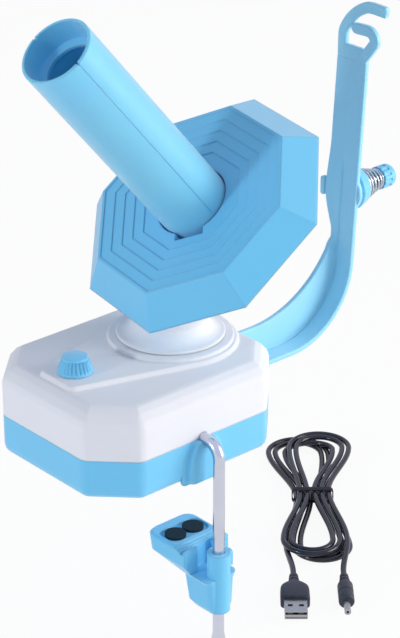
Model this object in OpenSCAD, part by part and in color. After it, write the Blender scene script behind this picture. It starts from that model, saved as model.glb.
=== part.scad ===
// Electric yarn ball winder with a table clamp, a yarn guide arm and its USB power cable.
// Origin: centre of the base underside. +X runs from the speed knob to the guide arm, +Z is up.

/* [Base] */
// Length of the base along X
base_length = 124; // [116:1:132]
// Width of the base along Y
base_width = 106; // [100:1:114]
// Leg of the cut at each corner of the base
corner_cut = 20.6; // [16:0.2:24]
// Rounding of the upright corner edges
corner_round = 7; // [4:0.5:9]
// Wall of both base shells
base_wall = 2.4; // [2:0.1:2.8]
// Floor of the bottom shell
floor_thick = 3; // [2.6:0.1:3.6]
// Height of the seam between the two shells
seam_height = 22; // [20.5:0.5:23.5]
// Height where the cover starts to slope in
shoulder_height = 41.5; // [40:0.5:43]
// Height of the flat top of the cover
cover_height = 49; // [48:0.5:51]
// How far the sloping edge of the cover comes in
bevel_inset = 8; // [6:0.5:10]
// How far the bottom edge of the base comes in
bottom_inset = 4.2; // [3:0.2:5]

/* [Plateau and knob] */
// Height of the teardrop plateau above the cover
plateau_rise = 2.4; // [1.6:0.2:3.2]
// Radius of the round end of the plateau
plateau_radius = 34; // [33:0.5:36]
// Width of the straight end of the plateau
plateau_end_width = 26; // [22:1:30]
// X of the straight end of the plateau
plateau_end_x = -52; // [-53:0.5:-50]
// Radius of the raised ring round the turret
ring_radius = 32.7; // [31:0.1:33.4]
// Height of the raised ring above the plateau
ring_rise = 2; // [1.4:0.2:2.6]
// X of the speed knob
knob_x = -40; // [-41:0.5:-38]
// Radius of the knob at its foot
knob_radius = 9; // [8:0.5:10]
// Radius of the knob at its top
knob_top_radius = 7.2; // [6.4:0.1:8]
// Height of the knob
knob_height = 9.2; // [8.6:0.2:11]
// Number of flutes round the knob
knob_flutes = 26; // [18:2:30]

/* [Turret] */
// X of the upright axis that the turret turns on
turret_x = 22.8; // [22:0.2:23.6]
// Height where the leaning spindle crosses the upright axis
apex_height = 138.9; // [138:0.1:140]
// Lean of the spindle from the upright axis
spindle_tilt = 40.4; // [40:0.1:41]
// Radius of the foot flange of the turret
turret_flange_radius = 28.2; // [27:0.2:29]
// Radius of the turret neck
neck_radius = 19.5; // [19.2:0.1:21]
// Radius of the fixed centre post
post_radius = 4; // [3.6:0.1:4.4]
// Radius of the spindle shaft
spindle_radius = 4; // [3.6:0.1:4.4]
// Wall of the turret sleeve
sleeve_wall = 1.6; // [1.2:0.1:1.8]
// Wall of every plain bush
bush_wall = 2; // [1.6:0.1:2.2]

/* [Winding disc and core] */
// Corner radius of the octagon face of the disc
disc_face_radius = 56.5; // [54:0.5:59]
// Corner radius of the back rim of the disc
disc_rim_radius = 70.7; // [68:0.5:73]
// Depth of the disc from its face to its rim
disc_depth = 14.8; // [13.5:0.2:16]
// Distance of the disc face below the crossing point
disc_drop = 19.6; // [19:0.2:20]
// Wall of the disc
disc_wall = 2.2; // [1.8:0.1:2.4]
// Number of steps on the disc face
face_steps = 5; // [3:1:6]
// Height of each step of the disc face
step_height = 0.5; // [0.3:0.05:0.5]
// Turn of the octagon about the spindle
octagon_turn = 15.3; // [0:0.1:45]
// Radius of the core tube
tube_radius = 18.85; // [18:0.05:19.4]
// Height of the core tube above the disc face
tube_height = 127; // [110:1:140]
// Wall of the core tube
tube_wall = 1.6; // [1.4:0.1:2]
// Depth of the ledge inside the mouth of the tube
mouth_depth = 13; // [8:1:20]
// Gap between the core tube and the round hole of the disc
tube_gap = 0.85; // [0.6:0.05:1.4]

/* [Gears] */
// Module of the spur gears
spur_module = 1; // [0.98:0.005:1]
// Teeth on the motor pinion
motor_teeth = 10; // [10:1:10]
// Teeth on the large wheel of the reduction gear
wheel_teeth = 40; // [40:1:40]
// Teeth on the small pinion of the reduction gear
pinion_teeth = 12; // [12:1:12]
// Teeth on the turret gear
turret_teeth = 48; // [48:1:48]
// Teeth on the fixed sun bevel gear
sun_teeth = 13; // [13:1:13]
// Teeth on the planet bevel gear
planet_teeth = 24; // [24:1:24]
// Distance from the crossing point to the outer end of the bevel teeth
bevel_reach = 57; // [56.6:0.1:57.6]
// Length of the bevel teeth along the cone
bevel_face = 7; // [6:0.2:7.4]

/* [Guide arm] */
// Height of the upper face of the arm where it leaves the base
arm_height = 22.5; // [22:0.1:23]
// X where the arm starts to curve up
arm_bend_x = 98; // [95:0.5:101]
// Radius of the curve of the arm
arm_bend_radius = 41.5; // [39:0.5:44]
// Outward lean of the upright of the arm
arm_lean = 3.6; // [2:0.2:5]
// Thickness of the arm
arm_thick = 3; // [2.6:0.1:3.4]
// Y of the crease between the two legs of the arm
arm_crease_y = -1.6; // [-3:0.2:-0.6]
// Width of the leg of the arm on the clamp side
arm_flange_width = 11.5; // [10:0.5:13]
// Width of the other leg where it stands upright on the curve
arm_web_width = 15.5; // [13:0.5:16.5]
// Width of the other leg where it lies flat on the upright
arm_leaf_width = 9.6; // [8:0.2:11]
// Height of the foot of the yarn hook
hook_height = 171; // [166:1:176]
// Width of the upper curl of the yarn hook
hook_band = 6; // [5:0.5:7]
// Height of the yarn tensioner
tension_height = 100; // [98:0.5:103]
// Radius of the tension stud
stud_radius = 2.5; // [2:0.1:3]
// Radius of the round pad of the arm at the tensioner
pad_radius = 11.8; // [11:0.2:13]
// Length of the tension spring
spring_length = 15; // [13:0.5:17]
// Radius of the wide end of the tension spring
spring_wide = 9; // [8:0.2:9.4]
// Radius of the narrow end of the tension spring
spring_narrow = 5; // [4.6:0.2:6]
// Wire of the tension spring
spring_wire = 1.1; // [0.8:0.1:1.3]
// Turns of the tension spring
spring_turns = 5; // [4:1:6]

/* [Table clamp] */
// X of the hooked clamp rod
rod_x = -2; // [-6:1:6]
// Radius of the clamp rod
rod_radius = 3; // [2.6:0.1:3.4]
// Distance of the rod axis from the base wall
rod_out = 12; // [11.5:0.5:14]
// Height of the lower end of the rod, below the base underside
rod_end = -90.5; // [-100:0.5:-86]
// How far the lug stands out of the base wall
lug_out = 3.6; // [3:0.1:4.4]
// Height of the lower end of the slider
slider_low = -72.5; // [-75:0.5:-70]
// Height of the sleeve of the slider
slider_height = 33.5; // [31:0.5:35]
// Reach of the slider platform from the rod
platform_reach = 40; // [37:1:43]
// Width of the slider platform
platform_width = 30; // [28:1:34]
// Radius of each clamp pad
clamp_pad_radius = 5.6; // [5:0.1:5.9]

/* [Cable] */
// Diameter of the cable
cable_diameter = 3.2; // [3.2:0.1:3.2]
// Step between neighbouring turns of the hank
turn_step = 3.95; // [3.95:0.05:4.05]
// Radius of the tightest end turn of the hank
tightest_turn = 9.6; // [9.6:0.1:10]
// Half distance between the centres of the end turns
hank_half = 52; // [51:1:53]

/* [Hidden] */
$fn = 64;
blue = "#62B4E6";
white = "#EEF0F6";
black = "#2D2A3C";
steel = "#B8BAC4";
brass = "#C9A75A";

// Clearances shared by all fits
press_gap = 0.02;
run_gap = 0.04;
face_gap = 0.2;
free_gap = 0.4;
eps = 0.01;

// Places along the upright axis
cavity_top = cover_height - base_wall;
plateau_top = cover_height + plateau_rise;
ring_top = plateau_top + ring_rise;
flange_low = ring_top + free_gap;
flange_high = flange_low + 1.6;
neck_low = flange_high + 7.6;
boss_top = 16;
collar_top = boss_top + 2;
sleeve_low = collar_top + face_gap;
sleeve_high = neck_low + 2.8;
bush_radius = post_radius + bush_wall;
sleeve_radius = bush_radius + sleeve_wall;
bush_length = 8;

// Bevel pair: both cones meet at the crossing point
ratio_bevel = sun_teeth / planet_teeth;
sun_cone = atan(ratio_bevel * sin(spindle_tilt) / (1 + ratio_bevel * cos(spindle_tilt)));
planet_cone = spindle_tilt - sun_cone;
bevel_inner = bevel_reach - bevel_face;
sun_low = apex_height - bevel_reach * cos(sun_cone);
sun_high = apex_height - bevel_inner * cos(sun_cone);
planet_low = bevel_reach * cos(planet_cone);
planet_high = bevel_inner * cos(planet_cone);
bevel_module = 2 * bevel_reach * sin(sun_cone) / sun_teeth;
sun_room = bevel_reach * sin(sun_cone) + bevel_module + 0.8;
sun_room_top = bevel_inner * sin(sun_cone) + bevel_module + 0.5;
planet_room = bevel_reach * sin(planet_cone) + bevel_module + 0.4;
drum_wall = 2;
drum_radius = planet_room + drum_wall;

// Depths below the crossing point along the spindle
plate_back = disc_drop + disc_wall;
roof_depth = plate_back + face_steps * step_height + 0.5;
cup_floor = disc_drop + 10;
cup_back = cup_floor + 2.8;
hub_back = cup_back + 5.6;
bush_front = hub_back + 0.6;
bush_back = planet_high - 0.8;
cap_seat = planet_low + 1.2;
cap_back = cap_seat + 2;
shaft_back = cap_back + 3;
hub_radius = 9;
hole_radius = tube_radius + tube_gap;
notch_size = [16, 2.6];
cup_radius = hole_radius + notch_size.y + disc_wall;
notch_turn = 216.7;
tube_floor = 3;

// Gear axes in the base
gear_gap = 0.1;
train_gap = spur_module * (pinion_teeth + turret_teeth) / 2 + gear_gap;
axle_x = turret_x - train_gap;
motor_gap = spur_module * (motor_teeth + wheel_teeth) / 2 + gear_gap;
motor_x = axle_x;
motor_y = motor_gap;
turret_gear_low = 26;
turret_gear_high = 31;
wheel_low = 34.5;
wheel_high = 38.5;
axle_radius = 2;
motor_radius = 12;
motor_top = 29;
bracket_top = motor_top + 2;
motor_shaft_radius = 1;
shaft_top = 40.5;

// Small fixings
screw_radius = 1.5;
screw_head = 2.8;
screw_places = [for (x = [-1, 1], y = [-1, 1]) [x * (base_length / 2 - 12), y * (base_width / 2 - 27)]];
pad_places = [for (x = [-1, 1], y = [-1, 1]) [x * (base_length / 2 - 24), y * (base_width / 2 - 13)]];
foot_radius = 6;
foot_thick = 1.5;
board_low = 8;
board_size = [30, 28, 1.6];
board_corner = [-43, -45];
bracket_posts = [[motor_x - 18, motor_y + 5], [motor_x + 17, motor_y + 13]];

// Potentiometer and knob
pot_radius = 8;
pot_height = 8;
pot_nose = 3.6;
pot_shaft = 3;
knob_low = plateau_top + face_gap + 0.1;
knob_high = knob_low + knob_height;
pot_shaft_top = knob_high - 2.2;

// Power inlet in the back wall
jack_x = -base_length / 2 + 28;
jack_z = 12;
jack_nose = 3.4;

// Clamp rod and slider
rod_y = -base_width / 2 - rod_out;
rod_z = seam_height;
lug_face = -base_width / 2 - lug_out;
lug_width = 22;
rod_bend = lug_face - rod_y - 0.2;
rod_inside = -base_width / 2 + 14;
slider_high = slider_low + slider_height;
slider_sleeve = rod_radius + 3;
platform_top = slider_high + 1.4;
platform_thick = 9;
web_top = slider_low + 20;
pad_recess = 0.9;
pad_thick = 1.4;
pad_reach = platform_reach - 13.5;
pad_spacing = 2 * clamp_pad_radius + 0.6;

// Guide arm
arm_root_x = base_length / 2 - 12;
arm_arc = 90 - arm_lean;
arm_flat = arm_bend_x - arm_root_x;
arc_length = arm_bend_radius * arm_arc * PI / 180;
upright_x = arm_bend_x + arm_bend_radius * sin(arm_arc);
upright_z = arm_height + arm_bend_radius * (1 - cos(arm_arc));
upright_length = (hook_height - upright_z) / cos(arm_lean);
arm_length = arm_flat + arc_length + upright_length;
tension_run = (tension_height - upright_z) / cos(arm_lean);
tension_y = arm_crease_y - 1.4;
web_radius = 64;
web_centre = [arm_bend_x - 18, arm_height + arm_web_width + web_radius];
web_swell = 6;
leaf_root = 2.6;
pad_proud = 0.2;
pad_front = 1.5;
pad_deep = arm_thick + 1.2;
disc_seat = pad_deep + free_gap;
disc_deep = 7.6;
spring_start = disc_seat + disc_deep;
spring_end = spring_start + spring_length;
cap_length = 9;
cap_radius = 6.4;

// Hank: turns spiral in, climb a layer along a run and spiral out again
hank_turns = 3;
hank_draw = 7.6;
layer_step = cable_diameter + 0.55;
tie_thick = 0.5;
tie_gap = 0.3;
tie_width = 4;
cable_radius = cable_diameter / 2;
hank_low = tie_thick + tie_gap + cable_radius;
hank_place = [132, 4, rod_end];
hank_turn = 48.5;
lead_start = -87;
usb_lead_y = 14;
dc_lead_y = -13;
plug_axis = 4.2;
usb_body = [17, 15.6, 8.4];
usb_shell = [12.7, 12, 4.5];
relief_length = 9;
dc_body_radius = 4.2;
dc_body_length = 17;
dc_barrel_radius = 1.75;
dc_barrel_length = 9.5;

// Unit vector of v
function unit(v) = v / norm(v);
// Smooth rise from 0 to 1 as t goes from 0 to 1
function ease(t) = let (c = min(1, max(0, t))) c * c * (3 - 2 * c);
// Mix of a and b
function mix(a, b, t) = a + (b - a) * t;

// Points of a convex outline with every corner rounded to radius r by n chords
function rounded(points, r, n = 4) = [
    for (i = [0 : len(points) - 1])
        let (p = points[i], q = points[(i + len(points) - 1) % len(points)], s = points[(i + 1)
            % len(points)])
        let (a = unit(q - p), b = unit(s - p))
        let (half = acos(max(-1, min(1, a * b))) / 2)
        let (centre = p + unit(a + b) * r / sin(half))
        let (turn = 180 - 2 * half, mid = atan2(-(a + b).y, -(a + b).x))
        for (k = [0 : n]) centre + r * [cos(mid + turn * (k / n - 0.5)), sin(mid + turn * (k / n - 0.5))]];

// Rectangle with its corners in turn, anticlockwise
function box_points(x0, x1, y0, y1) = [[x0, y0], [x1, y0], [x1, y1], [x0, y1]];

// Long octagon of the base, moved in by d
function base_outline(d) =
    let (hx = base_length / 2 - d, hy = base_width / 2 - d, c = corner_cut - d * (2 - sqrt(2)))
    rounded([[hx, -hy + c], [hx, hy - c], [hx - c, hy], [-hx + c, hy], [-hx, hy - c], [-hx, -hy + c],
        [-hx + c, -hy], [hx - c, -hy]], max(1, corner_round - d));

function at_height(points, z) = [for (p = points) [p.x, p.y, z]];

// Solid through rings of equal point count, each a list of places in space
module loft(rings) {
    n = len(rings[0]);
    last = len(rings) - 1;
    sides = [for (i = [0 : last - 1], k = [0 : n - 1]) let (j = (k + 1) % n)
        each [[i * n + k, (i + 1) * n + k, i * n + j], [i * n + j, (i + 1) * n + k, (i + 1) * n + j]]];
    caps = [[for (k = [0 : n - 1]) k], [for (k = [n - 1 : -1 : 0]) last * n + k]];
    polyhedron([for (ring = rings) each ring], concat(sides, caps), convexity = 6);
}

// Tube of n sides along a list of places, each ring square to the run on both sides of it
module tube_along(path, r, n = 6) {
    last = len(path) - 1;
    rings = [for (i = [0 : last])
        let (t = unit(path[min(i + 1, last)] - path[max(i - 1, 0)]))
        let (side = unit(cross(abs(t.z) > 0.9 ? [1, 0, 0] : [0, 0, 1], t)), up = cross(t, side))
        [for (k = [0 : n - 1]) path[i] + r * (cos(360 * k / n) * side + sin(360 * k / n) * up)]];
    loft([for (ring = rings) [for (k = [n - 1 : -1 : 0]) ring[k]]]);
}

// Least distance between stretches of a path that lie more than skip points apart
function least_gap(path, skip) = min([for (i = [0 : len(path) - 1], j = [i + skip : 1 : len(path) - 1])
    norm(path[i] - path[j])]);

function path_length(path) = let (steps = [for (i = [1 : len(path) - 1]) norm(path[i] - path[i - 1])])
    steps * [for (s = steps) 1];

// Places the children with +Z up the spindle and the crossing point at zero
module on_spindle() {
    translate([turret_x, 0, apex_height]) rotate([0, -spindle_tilt, 0]) children();
}

// Round solid on the spindle from depth a to the shallower depth b
module spindle_round(r, a, b) {
    on_spindle() translate([0, 0, -a]) cylinder(r = r, h = a - b);
}

// Places the children at the tensioner, with +Z along the stud away from the base
module on_stud() {
    translate([upright_x + tension_run * sin(arm_lean) - pad_proud, tension_y, tension_height])
        rotate([0, 90, 0]) children();
}

module on_rod() {
    translate([rod_x, rod_y, 0]) children();
}

module on_hank() {
    translate(hank_place) rotate([0, 0, hank_turn]) children();
}

// Involute flank from the root to the tip: radius and angle off the tooth centre
pressure = 25;
tooth_slack = 0.12;
function involute_angle(r, rb) = let (q = sqrt(max(0, r * r / (rb * rb) - 1))) q * 180 / PI - atan(q);
function flank(pitch, m, n) =
    let (rb = pitch * cos(pressure), tip = pitch + 0.85 * m, root = pitch - 1.1 * m)
    let (half = 90 / n - tooth_slack / pitch * 180 / PI + involute_angle(pitch, rb))
    [for (k = [0 : 4]) let (r = mix(root, tip, k / 4)) [r, half - involute_angle(max(r, rb), rb)]];

function spur_outline(teeth, m) =
    let (side = flank(teeth * m / 2, m, teeth))
    [for (i = [0 : teeth - 1]) each concat(
        [for (k = [0 : 4]) let (p = side[k]) p[0] * [cos(360 * i / teeth - p[1]),
            sin(360 * i / teeth - p[1])]],
        [for (k = [4 : -1 : 0]) let (p = side[k]) p[0] * [cos(360 * i / teeth + p[1]),
            sin(360 * i / teeth + p[1])]])];

// Tooth outline of a bevel gear in the plane of its outer end, from the flank laid on the back cone
function bevel_outline(teeth, cone, reach) =
    let (m = 2 * reach * sin(cone) / teeth, back = reach * tan(cone), height = reach * cos(cone))
    let (side = flank(back, m, teeth / cos(cone)))
    let (flat = [for (p = side) [p[0] * cos(cone) * height / (height - (p[0] - back) * sin(cone)),
        p[1] / cos(cone)]])
    [for (i = [0 : teeth - 1]) each concat(
        [for (k = [0 : 4]) let (p = flat[k]) p[0] * [cos(360 * i / teeth - p[1]),
            sin(360 * i / teeth - p[1])]],
        [for (k = [4 : -1 : 0]) let (p = flat[k]) p[0] * [cos(360 * i / teeth + p[1]),
            sin(360 * i / teeth + p[1])]])];

// Bevel gear on the Z axis below its cone point at zero
module bevel_teeth(teeth, cone, reach, inner) {
    ring = bevel_outline(teeth, cone, reach);
    low = -reach * cos(cone);
    shrink = inner / reach;
    translate([0, 0, low]) linear_extrude(low * shrink - low, scale = shrink) polygon(ring);
}

module bottom_shell() {
    color(blue) difference() {
        union() {
            difference() {
                loft([at_height(base_outline(bottom_inset), 0),
                    at_height(base_outline(bottom_inset * 0.45), 1.2),
                    at_height(base_outline(bottom_inset * 0.12), 3), at_height(base_outline(0), 5.5),
                    at_height(base_outline(0), seam_height)]);
                loft([at_height(base_outline(bottom_inset + base_wall), floor_thick),
                    at_height(base_outline(base_wall), 7), at_height(base_outline(base_wall),
                        seam_height + 1)]);
            }
            clamp_lug();
            translate([turret_x, 0, 0]) cylinder(r = 9, h = boss_top);
            translate([axle_x, 0, 0]) cylinder(r = 5, h = 14);
            for (p = screw_places) translate(p) cylinder(r = 4, h = seam_height);
            for (p = bracket_posts) translate(p) cylinder(r = 3, h = motor_top);
            for (x = [3, board_size.x - 3], y = [3, board_size.y - 3])
                translate(board_corner + [x, y]) cylinder(r = 2, h = board_low);
        }
        translate([turret_x, 0, floor_thick]) cylinder(r = post_radius + press_gap, h = boss_top);
        translate([axle_x, 0, floor_thick]) cylinder(r = axle_radius + press_gap, h = 20);
        for (p = screw_places) translate([p.x, p.y, -1]) cylinder(r = screw_radius + press_gap, h = 40);
        for (p = screw_places) translate([p.x, p.y, -1]) cylinder(r = screw_head + face_gap, h = 3);
        for (p = pad_places) translate([p.x, p.y, -1]) cylinder(r = foot_radius + press_gap,
            h = 1 + foot_thick);
        for (p = bracket_posts) translate([p.x, p.y, motor_top - 8]) cylinder(r = 1.2, h = 10);
        translate([jack_x, base_width / 2 - 10, jack_z]) rotate([-90, 0, 0])
            cylinder(r = jack_nose + press_gap, h = 20);
        rod_bore();
        arm_slot();
    }
}

// Outline of the lug, grown by g: upright sides that close in towards the rod like an arch
function lug_outline(g) =
    let (half = lug_width / 2 + g, low = -0.5 - g / 3, top = seam_height)
    let (side = [for (k = [0 : 6]) let (a = 60 * k / 6) [half * cos(a), mix(low + 8, top, sin(a) / sin(60))]])
    concat([[2.4 - half, low], [half - 2.4, low], [half - 0.7, low + 0.7], [half, low + 2.4]], side,
        [for (k = [6 : -1 : 0]) [-side[k].x, side[k].y]], [[-half, low + 2.4], [0.7 - half, low + 0.7]]);

// Arch-shaped lug on the clamp side: the rod hooks into its top edge and its foot catches the table edge
module clamp_lug() {
    wall = -base_width / 2;
    translate([rod_x, 0, 0]) loft([for (q = [[3, wall + base_wall / 2], [3, wall], [1.3, wall - 0.7],
        [0.4, wall - 1.6],
        [0, lug_face + 0.8], [-0.8, lug_face]]) [for (p = lug_outline(q[0])) [p.x, q[1], p.y]]]);
}

// Bore that both shells share for the hooked end of the rod
module rod_bore() {
    translate([rod_x, lug_face - 5, rod_z]) rotate([-90, 0, 0]) cylinder(r = rod_radius + run_gap, h = 24);
}

// Slot in the end wall that the foot of the arm passes through
module arm_slot() {
    grow = face_gap / 2;
    translate([arm_root_x - grow, arm_crease_y - arm_flange_width - grow, arm_height - arm_thick - grow])
        cube([30, arm_flange_width + arm_thick + 2 * grow, arm_thick + 2 * grow]);
    translate([arm_root_x - grow, arm_crease_y - grow, arm_height - grow])
        cube([30, arm_thick + 2 * grow, arm_web_width + 2 * grow]);
}

module top_cover() {
    slope = cover_height - shoulder_height;
    color(white) difference() {
        union() {
            difference() {
                loft([at_height(base_outline(0), seam_height), at_height(base_outline(0),
                    shoulder_height - 1.5),
                    at_height(base_outline(bevel_inset * 0.12), shoulder_height + slope * 0.2),
                    at_height(base_outline(bevel_inset * 0.5), shoulder_height + slope * 0.66),
                    at_height(base_outline(bevel_inset * 0.9), cover_height - slope * 0.05),
                    at_height(base_outline(bevel_inset * 1.15), cover_height)]);
                loft([at_height(base_outline(base_wall), seam_height - 1),
                    at_height(base_outline(base_wall), shoulder_height - 2),
                    at_height(base_outline(bevel_inset + base_wall), cavity_top)]);
            }
            plateau();
            translate([turret_x, 0, 0]) ring_step(ring_radius, cavity_top, ring_top);
            for (p = screw_places) translate([p.x, p.y, seam_height]) cylinder(r = 4,
                h = cavity_top - seam_height + 0.2);
            translate([axle_x, 0, wheel_high + 3]) cylinder(r = 4.5, h = cavity_top - wheel_high - 2);
        }
        translate([turret_x, 0, cavity_top - 5]) cylinder(r = sleeve_radius + 1.2, h = 20);
        translate([axle_x, 0, wheel_high]) cylinder(r = axle_radius + press_gap, h = 7);
        for (p = screw_places) translate([p.x, p.y, seam_height - 1])
            cylinder(r = screw_radius + press_gap, h = 13);
        translate([knob_x, 0, cavity_top - 1]) cylinder(r = pot_nose + press_gap, h = 20);
        rod_bore();
        arm_slot();
    }
}

// Teardrop plateau: straight at the knob, round at the turret, with a sloping edge
module plateau() {
    spread = 1.6;
    corner = 3;
    hull() {
        translate([turret_x, 0, cover_height - eps])
            cylinder(r1 = plateau_radius + spread, r2 = plateau_radius, h = plateau_rise + eps, $fn = 72);
        for (y = [-1, 1])
            translate([plateau_end_x + corner, y * (plateau_end_width / 2 - corner), cover_height - eps])
                cylinder(r1 = corner + spread, r2 = corner, h = plateau_rise + eps, $fn = 24);
    }
}

// Round step with a rounded upper edge
module ring_step(r, low, high) {
    soft = 0.8;
    rotate_extrude() polygon(concat([[0, low], [r, low]],
        [for (a = [0 : 22.5 : 90]) [r - soft + soft * cos(a), high - soft + soft * sin(a)]], [[0, high]]));
}

module foot_pads() {
    color(black) for (p = pad_places) translate(p) cylinder(r = foot_radius - press_gap,
        h = foot_thick - press_gap);
}

// Screw with a pan head at zero and its shank up +Z
module screw(r, head, length) {
    translate([0, 0, -1.8]) cylinder(r = r, h = length + 1.8);
    translate([0, 0, -1.8]) cylinder(r = head, h = 1.8 - eps);
}

module shell_screws() {
    color(steel) for (p = screw_places) translate([p.x, p.y, 2]) screw(screw_radius, screw_head,
        seam_height + 9);
}

module drive_motor() {
    flat = 20;
    color(steel) difference() {
        union() {
            translate([motor_x, motor_y, floor_thick]) intersection() {
                cylinder(r = motor_radius, h = motor_top - floor_thick);
                translate([-motor_radius, -flat / 2, -1]) cube([2 * motor_radius, flat, 60]);
            }
            translate([motor_x, motor_y, motor_top - eps]) cylinder(r = 3, h = 2);
        }
        translate([motor_x, motor_y, 8]) cylinder(r = motor_shaft_radius + run_gap, h = 40);
        for (x = [-1, 1]) translate([motor_x + 8 * x, motor_y, motor_top - 4]) cylinder(r = 1, h = 10);
    }
}

// Plate that the motor hangs from, on two posts of the bottom shell
module motor_bracket() {
    color(steel) difference() {
        translate([0, 0, motor_top]) linear_extrude(2) union() {
            translate([motor_x, motor_y]) circle(r = 12);
            for (p = bracket_posts) translate(p) circle(r = 3.6);
            for (p = bracket_posts) bar_between([motor_x, motor_y], p, 7);
        }
        translate([motor_x, motor_y, motor_top - 1]) cylinder(r = 3 + press_gap, h = 5);
        for (x = [-1, 1]) translate([motor_x + 8 * x, motor_y, motor_top - 1]) cylinder(r = 1.1, h = 5);
        for (p = bracket_posts) translate([p.x, p.y, motor_top - 1]) cylinder(r = 1.3, h = 5);
    }
}

// Flat bar of a given width from a to b
module bar_between(a, b, width) {
    side = unit([-(b - a).y, (b - a).x]) * width / 2;
    polygon([a - side, b - side, b + side, a + side]);
}

module motor_screws() {
    color(steel) {
        for (x = [-1, 1]) translate([motor_x + 8 * x, motor_y, bracket_top]) mirror([0, 0, 1]) screw(0.98,
            1.8, 5);
        for (p = bracket_posts) translate([p.x, p.y, bracket_top]) mirror([0, 0, 1]) screw(1.18, 2.2, 8);
    }
}

module motor_shaft() {
    color(steel) translate([motor_x, motor_y, 8.2]) cylinder(r = motor_shaft_radius, h = shaft_top - 8.2);
}

module motor_pinion() {
    color(brass) difference() {
        translate([motor_x, motor_y, wheel_low - 0.5])
            linear_extrude(wheel_high - wheel_low + 1) polygon(spur_outline(motor_teeth, spur_module));
        translate([motor_x, motor_y, 0]) cylinder(r = motor_shaft_radius + press_gap, h = 60);
    }
}

module reduction_axle() {
    color(steel) translate([axle_x, 0, floor_thick]) cylinder(r = axle_radius,
        h = wheel_high + 6.5 - floor_thick);
}

// Large wheel driven by the motor pinion, and small pinion that drives the turret gear
module reduction_gear() {
    hub = 5;
    color(white) difference() {
        union() {
            translate([axle_x, 0, wheel_low])
                linear_extrude(wheel_high - wheel_low) polygon(spur_outline(wheel_teeth, spur_module));
            translate([axle_x, 0, turret_gear_low - 0.5]) linear_extrude(wheel_low - turret_gear_low)
                polygon(spur_outline(pinion_teeth, spur_module));
            translate([axle_x, 0, turret_gear_high + 1]) cylinder(r = hub,
                h = wheel_high + 2.6 - turret_gear_high - 1);
            translate([axle_x, 0, 14 + face_gap]) cylinder(r = hub - 1.5, h = 12);
        }
        translate([axle_x, 0, 0]) cylinder(r = axle_radius + run_gap, h = 80);
        for (a = [0 : 60 : 300]) translate([axle_x, 0, wheel_low - 1]) rotate([0, 0, a]) translate([12.5,
            0, 0])
            cylinder(r = 3.4, h = 20);
    }
}

// Fixed post: a collar carries the turret, a thinner top carries the sun gear
module center_post() {
    color(steel) translate([turret_x, 0, 0]) {
        translate([0, 0, floor_thick]) cylinder(r = post_radius, h = sun_low - floor_thick);
        translate([0, 0, boss_top]) cylinder(r = post_radius + 3, h = collar_top - boss_top);
        translate([0, 0, sun_low - eps]) cylinder(r = post_radius - 1, h = sun_high - sun_low);
    }
}

module sun_gear() {
    color(brass) difference() {
        translate([turret_x, 0, apex_height]) bevel_teeth(sun_teeth, sun_cone, bevel_reach, bevel_inner);
        translate([turret_x, 0, sun_low - 1]) cylinder(r = post_radius - 1 + press_gap, h = 20);
    }
}

module turret_gear() {
    hub = 11;
    color(white) difference() {
        union() {
            translate([turret_x, 0, turret_gear_low]) rotate([0, 0, 180 / turret_teeth])
                linear_extrude(turret_gear_high - turret_gear_low) polygon(spur_outline(turret_teeth,
                    spur_module));
            translate([turret_x, 0, turret_gear_low - 2]) cylinder(r = hub,
                h = turret_gear_high - turret_gear_low + 3.5);
        }
        translate([turret_x, 0, 0]) cylinder(r = sleeve_radius + press_gap, h = 60);
        for (a = [0 : 45 : 315]) translate([turret_x, 0, turret_gear_low - 1]) rotate([0, 0, a])
            translate([17, 0, 0])
            cylinder(r = 3.6, h = 10);
    }
}

// Ring on the upright axis
module upright_ring(outer, inner, low, high) {
    translate([turret_x, 0, low]) difference() {
        cylinder(r = outer, h = high - low);
        translate([0, 0, -1]) cylinder(r = inner, h = high - low + 2);
    }
}

module turret_sleeve() {
    color(steel) upright_ring(sleeve_radius, bush_radius + press_gap, sleeve_low, sleeve_high);
}

module lower_bush() {
    color(brass) upright_ring(bush_radius, post_radius + run_gap, sleeve_low, sleeve_low + bush_length);
}

module upper_bush() {
    color(brass) upright_ring(bush_radius, post_radius + run_gap, sleeve_high - bush_length, sleeve_high);
}

// Turning head: round foot, waisted neck and the leaning drum that holds the bevel gears
module turret_housing() {
    color(white) difference() {
        union() {
            translate([turret_x, 0, 0]) rotate_extrude() polygon(concat(
                [[0, flange_low], [turret_flange_radius, flange_low]],
                [for (a = [0 : 30 : 90]) [turret_flange_radius - 0.7 + 0.7 * cos(a),
                    flange_high - 0.7 + 0.7 * sin(a)]],
                [for (a = [0 : 10 : 90]) let (span = turret_flange_radius - 2 - neck_radius)
                    [neck_radius + span * (1 - sin(a)), mix(flange_high, neck_low, 1 - cos(a))]],
                [[neck_radius, neck_low + 1], [0, neck_low + 1]]));
            hull() {
                translate([turret_x, 0, neck_low]) cylinder(r = neck_radius + 0.2, h = 6, $fn = 48);
                translate([turret_x, 0, sun_low]) cylinder(r = sun_room_top + 3,
                    h = sun_high - sun_low + 2.8, $fn = 48);
                on_spindle() translate([0, 0, -cap_seat - 1])
                    cylinder(r = drum_radius, h = cap_seat + 1 - bush_back, $fn = 48);
            }
        }
        disc_room();
        bevel_room();
        spindle_round(drum_radius + 0.8, cap_back + 40, cap_seat);
        translate([turret_x, 0, 0]) cylinder(r = post_radius + 1.2, h = sun_low);
        translate([turret_x, 0, 0]) cylinder(r = sleeve_radius + press_gap, h = sleeve_high + face_gap);
        spindle_round(spindle_radius + bush_wall + press_gap, planet_low, hub_back - 1);
        for (a = [30 : 60 : 330]) on_spindle() rotate([0, 0, a]) translate([planet_room + drum_wall / 2,
            0, -cap_seat - 1])
            cylinder(r = 0.6, h = 7);
    }
}

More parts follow.
